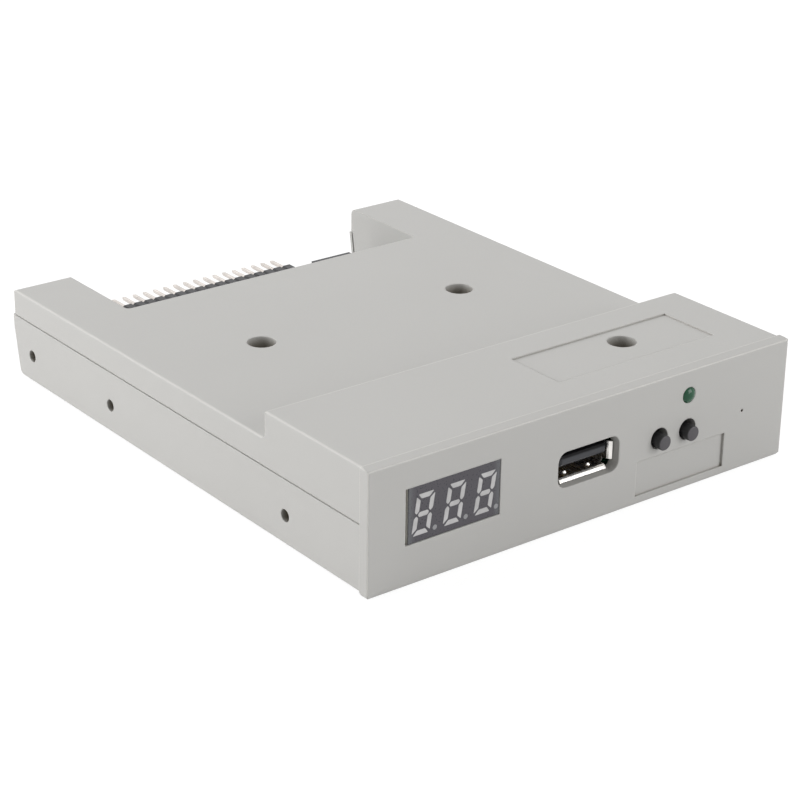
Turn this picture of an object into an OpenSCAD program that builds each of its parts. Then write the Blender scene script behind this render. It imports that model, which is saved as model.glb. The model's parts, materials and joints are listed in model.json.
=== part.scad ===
// Floppy drive emulator for a 3.5 inch bay, in millimetres.
// It takes memory sticks in the front port and speaks to a computer through the pins at its rear.
// Depths are measured from the front face of the bezel, and heights from its lower edge.
// The origin lies under the middle of the whole drive, and the bezel faces -Y.

/* [Housing] */
// Width of the bezel
bezel_w = 101; // [98:0.5:104]
// Height of the bezel
bezel_h = 25.1; // [24.6:0.1:27]
// Thickness of the bezel
bezel_t = 2.4; // [2:0.1:2.8]
// How far the bezel stands proud of the body at each side
bezel_lip = 0.4; // [0.2:0.1:1]
// How far the raised block stays below the top of the bezel
block_drop = 0.2; // [0.1:0.1:0.6]
// Depth of the raised block behind the bezel's face
block_d = 31.1; // [29:0.1:36]
// Height of the deck behind the raised block
deck_h = 19.45; // [18.8:0.05:20.5]
// Height of the seam between the two housings
seam_z = 14; // [13:0.1:14.5]
// Height of the body's underside
under_z = 0.8; // [0.4:0.1:1.2]
// Depth of the drive from the bezel's face to its rear
drive_d = 123.6; // [121:0.2:130]
// Wall thickness of both housings
wall_t = 1.8; // [1.5:0.1:2.1]
// Thickness of the roofs
roof_t = 2; // [1.6:0.1:2.4]
// Thickness of the floor
floor_t = 2; // [1.6:0.1:2.4]

/* [Rear notch] */
// Width of each rear ear
ear_w = 13.1; // [11:0.1:13.6]
// Depth of the notch from the rear
notch_d = 24.4; // [23:0.2:26]
// Radius of the notch's inner corners
notch_r = 1; // [0.5:0.5:5]
// How far the lower housing stands behind the upper one at the seam
rear_ledge = 0.7; // [0.2:0.1:1.2]
// How far the rear face of the lower housing leans in at its foot
rear_lean = 1.9; // [0.5:0.1:2.5]
// Radius of the rear lower edge
rear_foot_r = 2; // [1:0.5:3]

/* [Edges] */
// Radius of the long edges
edge_r = 0.5; // [0.3:0.1:0.8]
// Radius of the deck's rear edge
rear_r = 1.3; // [0.5:0.1:1.5]
// Radius of the edges round the bezel's face
bezel_edge_r = 0.3; // [0.2:0.05:0.5]
// Radius of the bezel's lower edges
bezel_foot_r = 1.5; // [0.5:0.1:1.5]
// How far the bezel's top falls towards its face
bezel_slope = 0.3; // [0.1:0.05:0.35]
// Height of the groove along the seam
seam_groove_h = 0.3; // [0.1:0.05:0.4]
// Depth of the groove along the seam
seam_groove_d = 0.5; // [0.2:0.05:0.6]

/* [Display] */
// Width of the display window
window_w = 21.2; // [20.6:0.1:22]
// Height of the display window
window_h = 10.9; // [10.8:0.1:12]
// Distance from the body's side to the window's middle
window_side = 18.3; // [18:0.05:20]
// Share of the spare height behind the window that lies under the display's board
window_share = 0.69; // [0.5:0.01:0.8]
// Width of the display module
display_w = 20.4; // [20:0.1:20.4]
// Height of the display module
display_h = 10.7; // [10.2:0.1:10.7]
// Depth of the display module behind the bezel's face
display_d = 6.8; // [6:0.1:7.5]
// How far the display's face lies behind the bezel's face
display_set_back = 0.15; // [0.05:0.05:0.6]
// Height of one digit
digit_h = 7.8; // [7:0.1:8.2]
// Width of one digit
digit_w = 4; // [3.4:0.1:4.4]
// Distance from digit to digit
digit_pitch = 6.9; // [6.4:0.1:7]
// Width of one segment's stroke
segment_w = 0.95; // [0.8:0.05:1.2]
// Gap between segments
segment_gap = 0.3; // [0.15:0.05:0.4]
// Diameter of the decimal points
dot_d = 0.95; // [0.8:0.05:1.3]

/* [Port] */
// Share of the front's free width that lies between the display's board and the port
port_share = 0.2357; // [0.2:0.0001:0.3]
// Gap between the main board and the port shell
port_lift = 0.65; // [0.1:0.05:0.7]
// Width inside the port shell
port_in_w = 12.5; // [12.3:0.1:12.8]
// Height inside the port shell
port_in_h = 5.12; // [5:0.02:5.3]
// Sheet thickness of the port shell
port_sheet_t = 0.3; // [0.25:0.05:0.35]
// Depth of the port shell
port_d = 13.1; // [12.5:0.1:14]
// How far the port shell lies behind the bezel's face
port_set_back = 1.3; // [1.2:0.1:1.6]
// Width of the cut-out round the port
port_cut_w = 14.85; // [14.5:0.05:16]
// Height of the cut-out round the port
port_cut_h = 7.22; // [7.1:0.02:8]
// Corner radius of the cut-out
port_cut_r = 2; // [1:0.1:2.6]

/* [Buttons and lamp] */
// Share of the front's free width that lies between the port and the buttons
button_share = 0.2075; // [0.16:0.0005:0.26]
// Distance from one button to the other
button_pitch = 7.2; // [7.1:0.02:7.6]
// Diameter of the button holes
button_hole_d = 4.25; // [4:0.05:4.6]
// How far the button holes lie above the plungers' line
button_hole_rise = 0.4; // [0:0.05:0.4]
// Diameter of the plungers
plunger_d = 3; // [2.8:0.1:3.4]
// How far the plungers stand out of the bezel
plunger_proud = 1.7; // [1:0.1:3]
// Travel of the plungers
plunger_travel = 0.3; // [0.2:0.05:0.35]
// Size of a switch's square body
switch_s = 6.2; // [6:0.1:6.2]
// How far the lamp lies inside the up button's line
lamp_shift = 0.1; // [0:0.02:0.4]
// Share of the height between the switches and the roof that lies under the lamp
lamp_share = 0.575; // [0.5:0.001:0.65]
// Diameter of the lamp
lamp_d = 3.1; // [2.8:0.1:3.2]
// How far the lamp's dome stands out of the bezel
lamp_proud = 0.6; // [0.2:0.1:1.2]
// Distance from the body's side to the pin hole
pin_hole_side = 11.1; // [8:0.1:13]
// Height of the pin hole
pin_hole_z = 12.82; // [11:0.02:16]
// Diameter of the pin hole
pin_hole_d = 0.6; // [0.4:0.1:1]

/* [Label pockets] */
// Width of the pocket in the bezel
front_pocket_w = 22.75; // [20:0.25:24]
// Height of the pocket in the bezel
front_pocket_h = 7; // [6:0.1:7]
// Distance from the down button's line to the front pocket's middle
front_pocket_shift = 5.93; // [5.5:0.01:7]
// Height of the front pocket's lower edge
front_pocket_z = 2.26; // [2:0.02:2.5]
// Depth of the pocket in the bezel
front_pocket_t = 0.5; // [0.3:0.1:1]
// Width of the pocket on the raised block
top_pocket_w = 39.4; // [36:0.2:42]
// Length of the pocket on the raised block
top_pocket_l = 13.6; // [12:0.2:15]
// How far the top pocket's middle lies inside the front well's line
top_pocket_shift = 3.55; // [2:0.05:4]
// Depth of the top pocket's front edge from the bezel's face
top_pocket_y = 9.95; // [9:0.05:11]
// Depth of the pocket on the raised block
top_pocket_t = 0.3; // [0.2:0.1:0.6]

/* [Screws] */
// Diameter of the screw wells
well_d = 5.8; // [5.7:0.1:6.2]
// Wall thickness of the screw wells
well_wall_t = 1.5; // [1.2:0.1:1.8]
// Thickness of the well's floor under the screw head
well_floor_t = 2; // [1.5:0.1:2.5]
// How far the front well lies inside the up button's line
front_well_shift = 0.57; // [0:0.01:1]
// Depth of the front well from the bezel's face
front_well_y = 18.3; // [18:0.1:19]
// Place of the deck's wells each side of the middle
deck_well_x = 24.9; // [23:0.1:28]
// Distance from the deck's wells to the notch
deck_well_gap = 30.4; // [28:0.1:33]
// Diameter of the case screws
screw_d = 2.9; // [2.6:0.1:3]
// Length of the case screws under the head
screw_l = 7.6; // [7:0.1:8]
// Head diameter of the case screws
screw_head_d = 5.3; // [5:0.1:5.5]

/* [Side fixing holes] */
// Diameter of the side holes, tapped for M3
side_hole_d = 2.5; // [2.2:0.1:2.8]
// Depth of the side holes
side_hole_l = 5; // [4:0.5:5.5]
// Depth of the first side hole from the bezel's face
side_hole_y = 25; // [24.6:0.2:25.4]
// Distance from the first side hole to the second
side_hole_pitch = 60; // [59:0.5:61]
// Distance from the third side hole to the drive's rear
side_hole_rear = 7.6; // [7.2:0.1:8.2]
// Height of the side holes
side_hole_z = 6.6; // [6.2:0.1:7]

/* [Circuit board] */
// Gap between the board and the bosses of the side holes
board_gap = 1.5; // [1:0.1:2.5]
// Gap between the board's tail and the ears
tail_gap = 0.7; // [0.7:0.1:1.4]
// Thickness of the main board
board_t = 1.6; // [1.4:0.1:1.8]
// Height of the board's upper face
board_top = 9.3; // [9.2:0.05:9.4]
// Depth of the board's front edge from the bezel's face
board_front = 4.6; // [4.4:0.1:4.8]
// Distance from the headers' rear face to the drive's rear
header_inset = 10.45; // [10.2:0.05:10.8]
// How far the board's rear edge lies in front of the headers' rear face
board_rear_gap = 0.45; // [0.2:0.05:1.1]
// Pitch of the header pins
pin_pitch = 2.54; // [2.5:0.01:2.6]
// Most columns that the floppy header has
header_columns_most = 17; // [13:1:17]
// Gap between the floppy header and the power connector
header_gap = 3.2; // [3:0.1:5]
// Length of the pins behind the headers
pin_l = 6.15; // [5.6:0.05:6.5]
// Width of the power connector
power_w = 10.2; // [10:0.1:10.6]
// Gap between the power connector and the jumper header
power_gap = 1.8; // [0.8:0.1:2]
// Distance from the jumper header's middle to the tail's edge
jumper_inset = 4; // [3.9:0.1:4.5]
// How far the jumper header lies in front of the floppy header
jumper_set_in = 4.6; // [3:0.1:5]

/* [Hidden] */
$fn = 48;

// Fits and cuts
overrun = 0.5;
slip = 0.15;
small_slip = 0.06;
corner_steps = 4;

// Driving sizes of the housings
body_w = bezel_w - 2 * bezel_lip;
inner_half = body_w / 2 - wall_t;
block_h = bezel_h - block_drop;
roof_low = block_h - roof_t;
step_r = min(2 * edge_r, (block_h - deck_h) / 3);
root_y = 0.8 * bezel_t;
upper_rear = drive_d - rear_ledge;
notch_y = drive_d - notch_d;
notch_w = body_w - 2 * ear_w;
front_y = (plunger_proud - drive_d) / 2;
floor_top = under_z + floor_t;
board_low = board_top - board_t;
skirt_z = board_top + roof_t / 2;
sill_z = board_low - roof_t / 4;
ear_seam_z = floor_top + wall_t / 2;
ear_end = 1.2;
ear_slit = 0.4;

// Side fixing holes
side_ys = [side_hole_y, side_hole_y + side_hole_pitch, drive_d - side_hole_rear];
side_boss_d = 2.4 * side_hole_d;
side_boss_l = side_hole_l + wall_t / 3;

// Main board
board_w = body_w - 2 * (side_boss_l + board_gap);
tail_w = notch_w - 2 * tail_gap;
tail_y = notch_y - 1.2 * wall_t;
header_rear = drive_d - header_inset;
board_rear = header_rear - board_rear_gap;
tray_rear = header_rear - wall_t / 2;

// Locating tabs that rise inside the upper housing
tab_l = 12;
tab_t = 1.2;
tab_rise = 2;
tab_shares = [0.12, 0.42, 0.68];

// Display module and its board
face_t = 0.2;
digit_drop = 0.25;
ease_share = 0.22;
digit_slant_share = 0.158;
dot_drop_share = 0.44;
dot_side_share = 0.78;
display_board_t = 1.2;
display_board_edge = 1.95;
display_post_d = 4.6;
display_post_gap = 1.1;
display_screw_d = 2;
display_screw_head_d = 3.8;
display_screw_head_h = 1.4;
display_pin_w = 0.5;
display_pin_root = 0.5;
display_pin_tail = 1;
display_pin_count = 6;
display_pin_share = 0.36;
display_board_h = display_h + 2 * display_board_edge;
display_post_side = display_w / 2 + display_post_d / 2 + display_post_gap;
display_board_w = 2 * display_post_side + display_post_d + 2 * slip;
display_pin_rows = display_pin_share * display_board_h;
window_x = window_side - body_w / 2;
spare_h = roof_low - floor_top - display_board_h;
window_z = floor_top + display_board_h / 2 + window_share * spare_h;
display_x = window_x + (window_w - display_w) / 2 - small_slip;
display_end = display_x + display_board_w / 2;
display_back = display_set_back + display_d;
digit_z = window_z - digit_drop;
display_board_back = display_back + display_board_t;

// Switches
cover_t = 0.3;
switch_inset = 0.6;
switch_z = board_top + switch_s / 2;
switch_front = board_front + switch_inset;
base_front = switch_front + cover_t;
base_d = 3.6;
dome_d = 4.6;
dome_t = 0.15;
dome_h = 0.5;
dome_pocket_d = dome_d + 2 * slip;
dome_pocket = 1.6;
flange_d = 4.5;
flange_t = 0.6;
leg_w = 0.7;
leg_t = 0.3;
leg_below = 1.2;
leg_hole_d = leg_w + 2 * slip;

// Port
port_out_w = port_in_w + 2 * port_sheet_t;
port_out_h = port_in_h + 2 * port_sheet_t;
port_z = board_top + port_lift + port_out_h / 2;
port_shell_r = 0.6;
port_leg_w = 1.2;
port_leg_shares = [0.45, 0.85];
port_block_l = 5;
port_relief = 2;
port_lip_l = 0.8;
port_lip_reach = 0.7;
port_lip_turn = 48;
port_lip_shares = [0.9, 0.7];
lip_bend_shares = [0.54, 0.31];
port_spring_side = 2.9;
port_spring_y = 2.3;
port_spring_d = 1.4;
port_spring_h = 0.4;
tongue_t = 1.84;
tongue_w = 11.1;
tongue_rise = 0.73;
tongue_set_back = 0.2;
tongue_edge = 0.35;
tongue_bevel = 0.5;
contact_w = 1;
contact_t = 0.25;
contact_shares = [-0.28, -0.08, 0.08, 0.28];

// Places along the front, from the display's board towards the right
switches_w = button_pitch + switch_s + 2 * cover_t;
free_w = inner_half - display_end - port_out_w - switches_w;
port_x = display_end + port_share * free_w + port_out_w / 2;
button_x = port_x + port_out_w / 2 + button_share * free_w + switch_s / 2 + cover_t;
switch_xs = [button_x, button_x + button_pitch];
lamp_x = switch_xs[1] - lamp_shift;
lamp_room = roof_low - switch_z - switch_s / 2;
lamp_z = switch_z + switch_s / 2 + lamp_share * lamp_room;
pin_hole_x = body_w / 2 - pin_hole_side;
front_pocket_x = button_x + front_pocket_shift;
front_well_x = switch_xs[1] - front_well_shift;
top_pocket_x = front_well_x - top_pocket_shift;

// Lamp
lamp_flange_rim = 0.35;
lamp_flange_d = lamp_d + 2 * lamp_flange_rim;
lamp_flange_t = 1;
lamp_l = 5.3;
lamp_back = lamp_l - lamp_proud;
lamp_lead_w = 0.5;
lamp_lead_pitch = 2.54;
lamp_lead_gap = 1.1;
lamp_lead_y = base_front + base_d + lamp_lead_gap;
lamp_collar_t = 0.8;
lamp_hole_d = lamp_d + 2 * small_slip;

// Wells, their bosses and the posts under the board
deck_well_y = notch_y - deck_well_gap;
well_spots = [
  [front_well_x, front_well_y, block_h],
  [-deck_well_x, deck_well_y, deck_h],
  [deck_well_x, deck_well_y, deck_h],
];
boss_d = well_d + 2 * well_wall_t;
screw_hole_d = screw_d + 3 * slip;
screw_seat = board_top + well_floor_t;
screw_head_h = 0.38 * screw_head_d;
screw_tip_z = screw_seat - screw_l;
post_d = 2.4 * screw_d;
rest_post_spots = [
  [-front_well_x, front_well_y + pin_pitch],
  [-board_w / 2 + post_d, notch_y - 3 * wall_t],
  [board_w / 2 - post_d, notch_y - 3 * wall_t],
];

// Cable between the display board and the main board
wire_count = 4;
wire_d = 0.9;
wire_pitch = 1.25;
wire_bend_r = 2;
wire_run = 1.3;
plug_end_w = 0.75;
plug_w = wire_count * wire_pitch + 2 * plug_end_w;
plug_deep = 3.4;
plug_edge = 1;
plug_rise = 0.6;
plug_wall = 0.5;
socket_h = 3.2;
plug_x = display_end - plug_edge - plug_w / 2;
plug_y = display_board_back + socket_h + plug_rise + wire_run + wire_bend_r;
plug_z = window_z + display_board_h / 2 - plug_edge - plug_deep / 2;
board_step_gap = 1.2;
board_step_x = display_end + board_step_gap;
board_step_y = plug_y - 0.8 * plug_deep;

// Pins and headers, placed from the right end of the board's tail
pin_w = 0.64;
pin_clear = 0.2;
pin_hole = pin_w + 2 * pin_clear;
pin_tip_y = header_rear + pin_l;
header_groove = 0.45;
header_trim = 0.25;
header_side_gap = 6;
header_front = header_rear - pin_pitch;
power_pin_count = 4;
power_pin_w = 0.9;
power_h = 5.7;
power_l = 7;
power_shelf_t = 1;
power_shelf_l = 5.4;
power_set_in = 3.3;
power_rear = header_rear - power_set_in;
jumper_columns = 3;
jumper_w = jumper_columns * pin_pitch;
jumper_x = tail_w / 2 - jumper_inset;
jumper_rear = header_rear - jumper_set_in;
jumper_foot_y = jumper_rear - 1.5 * pin_pitch;
power_x = jumper_x - jumper_w / 2 - power_gap - power_w / 2;
header_end = power_x - power_w / 2 - header_gap;
header_room = header_end + tail_w / 2 - header_side_gap;
header_columns = min(header_columns_most, floor(header_room / pin_pitch));
header_w = header_columns * pin_pitch;
header_x = header_end - header_w / 2;
clip_t = 0.15;
cap_wall = 0.5;
cap_w = 2 * pin_pitch - slip;
cap_h = pin_pitch - slip;
cap_y = jumper_rear + slip;
cap_l = pin_l + clip_t + cap_wall;
cap_x = jumper_x - pin_pitch / 2;
cap_z = board_top + pin_pitch / 2;
cap_slot_h = pin_w + 2 * small_slip + 2 * clip_t;
cap_slot_w = pin_pitch + pin_w + 2 * slip;

// Chips, placed as shares of the board's half width and of its depth
gull_t = 0.2;
gull_reach = 1;
gull_lift = 0.1;
controller_s = 10;
controller_h = 1.4;
controller_shares = [0.05, 0.44];
controller_pins = 16;
controller_pitch = 0.5;
buffer_size = [8.6, 3.9, 1.5];
buffer_shares = [[-0.46, 0.78], [-0.05, 0.78]];
buffer_pins = 7;
buffer_pitch = 1.27;
driver_size = [9.9, 3.9, 1.5];
driver_pins = 8;

// Crystal
crystal_size = [11.2, 4.6, 3.2];
crystal_shares = [0.46, 0.39];
crystal_rim = 0.35;
crystal_base_t = 0.6;
crystal_pitch = 4.88;

// Regulator
regulator_size = [6.5, 3.5, 1.6];
regulator_shares = [0.42, 0.745];
regulator_pitch = 2.3;
regulator_tab_w = 3;

// Electrolytic capacitors
capacitor_d = 6.3;
capacitor_h = 4.9;
capacitor_base_s = 6.6;
capacitor_base_t = 0.9;
capacitor_shares = [[0.75, 0.78], [-0.8, 0.5], [0.8, 0.355]];
capacitor_foot_w = 0.8;
capacitor_foot_l = 1;

// Small chips on the board
small_size = [2, 1.25, 0.5];
resistor_row_shares = [-0.42, 0.7];
resistor_count = 12;
resistor_pitch = 3.2;
ceramic_shares = [
  [-0.19, 0.39],
  [-0.19, 0.5],
  [0.28, 0.515],
  [0.28, 0.585],
  [0.6, 0.745],
  [-0.23, 0.265],
  [0.19, 0.265],
  [0.7, 0.445],
];

// Service header
service_columns = 4;
service_shares = [-0.7, 0.32];
service_pin_l = 5.4;

// Colours
housing_colour = [0.76, 0.76, 0.74];
steel_colour = [0.72, 0.72, 0.72];
tin_colour = [0.84, 0.83, 0.8];
gold_colour = [0.85, 0.68, 0.32];
black_colour = [0.12, 0.12, 0.13];
board_colour = [0.05, 0.32, 0.16];
white_colour = [0.92, 0.91, 0.88];

// Shape helpers

module in_place() {
  translate([0, front_y, 0])
    children();
}

module box_at(x, y, z) {
  translate([x[0], y[0], z[0]])
    cube([x[1] - x[0], y[1] - y[0], z[1] - z[0]]);
}

module along_x(w) {
  rotate([90, 0, 90])
    linear_extrude(w, center = true)
      children();
}

module along_y(y, l) {
  translate([0, y + l, 0])
    rotate([90, 0, 0])
      linear_extrude(l)
        children();
}

module along_z(z, h) {
  translate([0, 0, z])
    linear_extrude(h)
      children();
}

module hole_y(x, z, d, y0, y1) {
  translate([x, y1, z])
    rotate([90, 0, 0])
      cylinder(h = y1 - y0, d = d);
}

// Points of a quarter circle round [cx, cy], or the bare corner where r is zero
function corner(cx, cy, r, start) =
  r == 0 ? [[cx, cy]] :
  [for (i = [0 : corner_steps])
    let (a = start + 90 * i / corner_steps) [cx + r * cos(a), cy + r * sin(a)]];

// Rectangle with its own radius at each corner: high-high, low-high, low-low, high-low
function rounded(x0, x1, y0, y1, r) = concat(
  corner(x1 - r[0], y1 - r[0], r[0], 0),
  corner(x0 + r[1], y1 - r[1], r[1], 90),
  corner(x0 + r[2], y0 + r[2], r[2], 180),
  corner(x1 - r[3], y0 + r[3], r[3], 270)
);

function even(r) = [r, r, r, r];

// Housing outline seen from above, with every wall moved inwards by the inset
module plan(inset, front, rear, outer_r) {
  half = body_w / 2 - inset;
  notch_half = notch_w / 2 + inset;
  inner_r = notch_r + inset;
  difference() {
    polygon(rounded(-half, half, front, rear, [outer_r, outer_r, 0, 0]));
    polygon(rounded(-notch_half, notch_half, notch_y - inset, drive_d + overrun,
      [0, 0, inner_r, inner_r]));
  }
}

// Upper housing

// Side view of the bezel
bezel_side = concat(
  corner(bezel_t - bezel_edge_r, bezel_h - bezel_edge_r, bezel_edge_r, 0),
  corner(bezel_edge_r, bezel_h - bezel_slope - bezel_edge_r, bezel_edge_r, 90),
  corner(bezel_foot_r, bezel_foot_r, bezel_foot_r, 180),
  corner(bezel_t - edge_r, edge_r, edge_r, 270)
);

module bezel_plate() {
  wide = bezel_w / 2;
  intersection() {
    along_y(0, bezel_t)
      polygon(rounded(-wide, wide, 0, bezel_h, [edge_r, edge_r, bezel_foot_r, bezel_foot_r]));
    along_z(-overrun, bezel_h + 2 * overrun)
      polygon(rounded(-wide, wide, 0, bezel_t + overrun, [0, 0, bezel_edge_r, bezel_edge_r]));
    along_x(bezel_w + overrun)
      polygon(bezel_side);
  }
}

// Side view of the raised block and the deck
upper_side = concat(
  [[root_y, seam_z], [upper_rear, seam_z]],
  corner(upper_rear - rear_r, deck_h - rear_r, rear_r, 0),
  [for (i = [0 : corner_steps])
    let (a = 270 - 90 * i / corner_steps)
      [block_d + step_r + step_r * cos(a), deck_h + step_r + step_r * sin(a)]],
  corner(block_d - edge_r, block_h - edge_r, edge_r, 0),
  [[root_y, block_h]]
);

module upper_outer() {
  half = body_w / 2;
  intersection() {
    along_x(body_w + overrun)
      polygon(upper_side);
    union() {
      along_y(0, block_d + step_r)
        polygon(rounded(-half, half, seam_z - overrun, block_h + overrun, even(0)));
      along_y(block_d, drive_d)
        polygon(rounded(-half, half, seam_z - overrun, deck_h, [edge_r, edge_r, 0, 0]));
    }
    along_y(0, drive_d + overrun)
      polygon(rounded(-half, half, seam_z - overrun, block_h, [edge_r, edge_r, 0, 0]));
    along_z(seam_z - overrun, bezel_h)
      plan(0, root_y, upper_rear, edge_r);
  }
}

module upper_cavity() {
  box_at([-inner_half, inner_half], [bezel_t, block_d - wall_t], [seam_z - overrun, roof_low]);
  along_z(seam_z - overrun, deck_h - roof_t - seam_z + overrun)
    plan(wall_t, bezel_t, upper_rear - wall_t, 0);
}

// Wall that closes the notch down to just above the board
module skirt() {
  box_at([-notch_w / 2, notch_w / 2], [notch_y - wall_t, notch_y], [skirt_z, seam_z + wall_t]);
}

// Depth of the lower housing's leaning rear face at a height under the seam
function rear_at(z) =
  drive_d - rear_lean * (seam_z - seam_groove_h - z)
    / (seam_z - seam_groove_h - under_z - rear_foot_r);

// Side view of the walls between the ears and the notch, which reach below the seam
function ear_side(gap, slit) = [
  [notch_y - wall_t / 2 - gap, ear_seam_z - gap],
  [rear_at(ear_seam_z) - ear_end + slit, ear_seam_z - gap],
  [drive_d - ear_end + slit, seam_z],
  [drive_d - ear_end + slit, seam_z + wall_t],
  [notch_y - wall_t / 2 - gap, seam_z + wall_t],
];

module ear_walls() {
  for (side = [-1, 1])
    translate([side * (notch_w + wall_t) / 2, 0, 0])
      along_x(wall_t)
        polygon(ear_side(0, 0));
}

// Room that the lower housing leaves for those walls
module ear_wall_cuts() {
  for (side = [-1, 1])
    translate([side * (notch_w + wall_t) / 2, 0, 0])
      along_x(wall_t + 2 * slip)
        polygon(ear_side(slip, ear_slit));
}

module well_bosses() {
  for (spot = well_spots)
    translate([spot[0], spot[1], board_top])
      cylinder(h = spot[2] - board_top - roof_t / 2, d = boss_d);
}

module well_cuts() {
  for (spot = well_spots)
    translate([spot[0], spot[1], 0]) {
      translate([0, 0, screw_seat])
        cylinder(h = bezel_h, d = well_d);
      translate([0, 0, board_top - overrun])
        cylinder(h = well_floor_t + 2 * overrun, d = screw_hole_d);
    }
}

// Bosses behind the bezel that carry the display board
module display_posts() {
  for (side = [-1, 1])
    hole_y(display_x + side * display_post_side, window_z, display_post_d,
      bezel_t / 2, display_back);
}

module display_post_cuts() {
  for (side = [-1, 1])
    hole_y(display_x + side * display_post_side, window_z, display_screw_d,
      bezel_t, display_back + overrun);
}

module lamp_collar() {
  hole_y(lamp_x, lamp_z, lamp_flange_d + 2 * (slip + lamp_collar_t), bezel_t / 2, lamp_back);
}

module bezel_cuts() {
  half_w = window_w / 2;
  half_h = window_h / 2;
  box_at([window_x - half_w, window_x + half_w], [-overrun, bezel_t + overrun],
    [window_z - half_h, window_z + half_h]);
  along_y(-overrun, bezel_t + 2 * overrun)
    polygon(rounded(port_x - port_cut_w / 2, port_x + port_cut_w / 2,
      port_z - port_cut_h / 2, port_z + port_cut_h / 2, even(port_cut_r)));
  for (x = switch_xs)
    hole_y(x, switch_z + button_hole_rise, button_hole_d, -overrun, bezel_t + overrun);
  hole_y(lamp_x, lamp_z, lamp_hole_d, -overrun, lamp_back + overrun);
  hole_y(lamp_x, lamp_z, lamp_flange_d + 2 * slip, lamp_back - lamp_flange_t - small_slip,
    lamp_back + overrun);
  hole_y(pin_hole_x, pin_hole_z, pin_hole_d, -overrun, bezel_t + overrun);
}

module label_pockets() {
  box_at([front_pocket_x - front_pocket_w / 2, front_pocket_x + front_pocket_w / 2],
    [-overrun, front_pocket_t], [front_pocket_z, front_pocket_z + front_pocket_h]);
  box_at([top_pocket_x - top_pocket_w / 2, top_pocket_x + top_pocket_w / 2],
    [top_pocket_y, top_pocket_y + top_pocket_l], [block_h - top_pocket_t, bezel_h + overrun]);
}

module upper_housing() {
  color(housing_colour)
    in_place()
      difference() {
        union() {
          bezel_plate();
          difference() {
            upper_outer();
            upper_cavity();
          }
          skirt();
          ear_walls();
          well_bosses();
          display_posts();
          lamp_collar();
        }
        well_cuts();
        display_post_cuts();
        bezel_cuts();
        label_pockets();
      }
}

// Lower housing

lower_side = concat(
  [[bezel_t, seam_z], [bezel_t, under_z]],
  corner(drive_d - rear_lean - rear_foot_r, under_z + rear_foot_r, rear_foot_r, 270),
  [[drive_d, seam_z - seam_groove_h], [drive_d, seam_z]]
);

module lower_outer() {
  half = body_w / 2;
  intersection() {
    along_x(body_w + overrun)
      polygon(lower_side);
    along_y(bezel_t - overrun, drive_d + overrun)
      polygon(rounded(-half, half, under_z, seam_z + overrun, [0, 0, edge_r, edge_r]));
    along_z(0, seam_z + overrun) {
      plan(0, bezel_t - overrun, drive_d, edge_r);
      translate([-notch_w / 2, notch_y - wall_t])
        square([notch_w, tray_rear - notch_y + wall_t]);
    }
  }
}

module lower_cavity() {
  tray_half = notch_w / 2;
  along_z(floor_top, seam_z)
    plan(wall_t, bezel_t + wall_t, drive_d - rear_lean - wall_t, 0);
  box_at([-inner_half, inner_half], [bezel_t - overrun, bezel_t + wall_t + overrun],
    [sill_z - wall_t, seam_z + overrun]);
  box_at([-tray_half, tray_half], [notch_y - 2 * wall_t, notch_y + overrun],
    [sill_z, seam_z + overrun]);
  box_at([-tray_half, tray_half], [notch_y, drive_d + overrun], [floor_top, seam_z + overrun]);
}

module lower_groove() {
  along_z(seam_z - seam_groove_h, seam_groove_h + overrun)
    difference() {
      translate([-bezel_w, bezel_t - overrun])
        square([2 * bezel_w, 2 * drive_d]);
      plan(seam_groove_d, bezel_t - 2 * overrun, upper_rear - seam_groove_d, 0);
    }
}

module lower_posts() {
  for (spot = well_spots)
    translate([spot[0], spot[1], floor_top - floor_t / 2])
      cylinder(h = board_low - floor_top + floor_t / 2, d = post_d);
  for (spot = rest_post_spots)
    translate([spot[0], spot[1], floor_top - floor_t / 2])
      cylinder(h = board_low - floor_top + floor_t / 2, d = post_d);
}

module lower_post_cuts() {
  for (spot = well_spots)
    translate([spot[0], spot[1], screw_tip_z - slip])
      cylinder(h = board_top, d = screw_d);
}

module side_bosses() {
  for (side = [-1, 1], y = side_ys) {
    translate([side * (body_w / 2 - side_boss_l), y, side_hole_z])
      rotate([0, side * 90, 0])
        cylinder(h = side_boss_l - wall_t / 2, d = side_boss_d);
    inner = body_w / 2 - side_boss_l;
    outer = body_w / 2 - wall_t / 2;
    box_at(side > 0 ? [inner, outer] : [-outer, -inner], [y - wall_t / 2, y + wall_t / 2],
      [floor_top - floor_t / 2, side_hole_z]);
  }
}

module side_holes() {
  for (side = [-1, 1], y = side_ys)
    translate([side * (body_w / 2 - side_hole_l), y, side_hole_z])
      rotate([0, side * 90, 0])
        cylinder(h = side_hole_l + overrun, d = side_hole_d);
}

module locating_tabs() {
  free = inner_half - slip;
  inner = free - tab_t;
  root = inner_half + wall_t / 2;
  for (side = [-1, 1], share = tab_shares) {
    y = share * drive_d;
    box_at(side > 0 ? [inner, root] : [-root, -inner], [y, y + tab_l],
      [seam_z - 2 * tab_rise, seam_z - seam_groove_h]);
    box_at(side > 0 ? [inner, free] : [-free, -inner], [y, y + tab_l],
      [seam_z - 2 * tab_rise, seam_z + tab_rise]);
  }
}

module lower_housing() {
  color(housing_colour)
    in_place()
      difference() {
        union() {
          difference() {
            lower_outer();
            lower_cavity();
            lower_groove();
            ear_wall_cuts();
          }
          lower_posts();
          side_bosses();
          locating_tabs();
        }
        lower_post_cuts();
        side_holes();
      }
}

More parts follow.
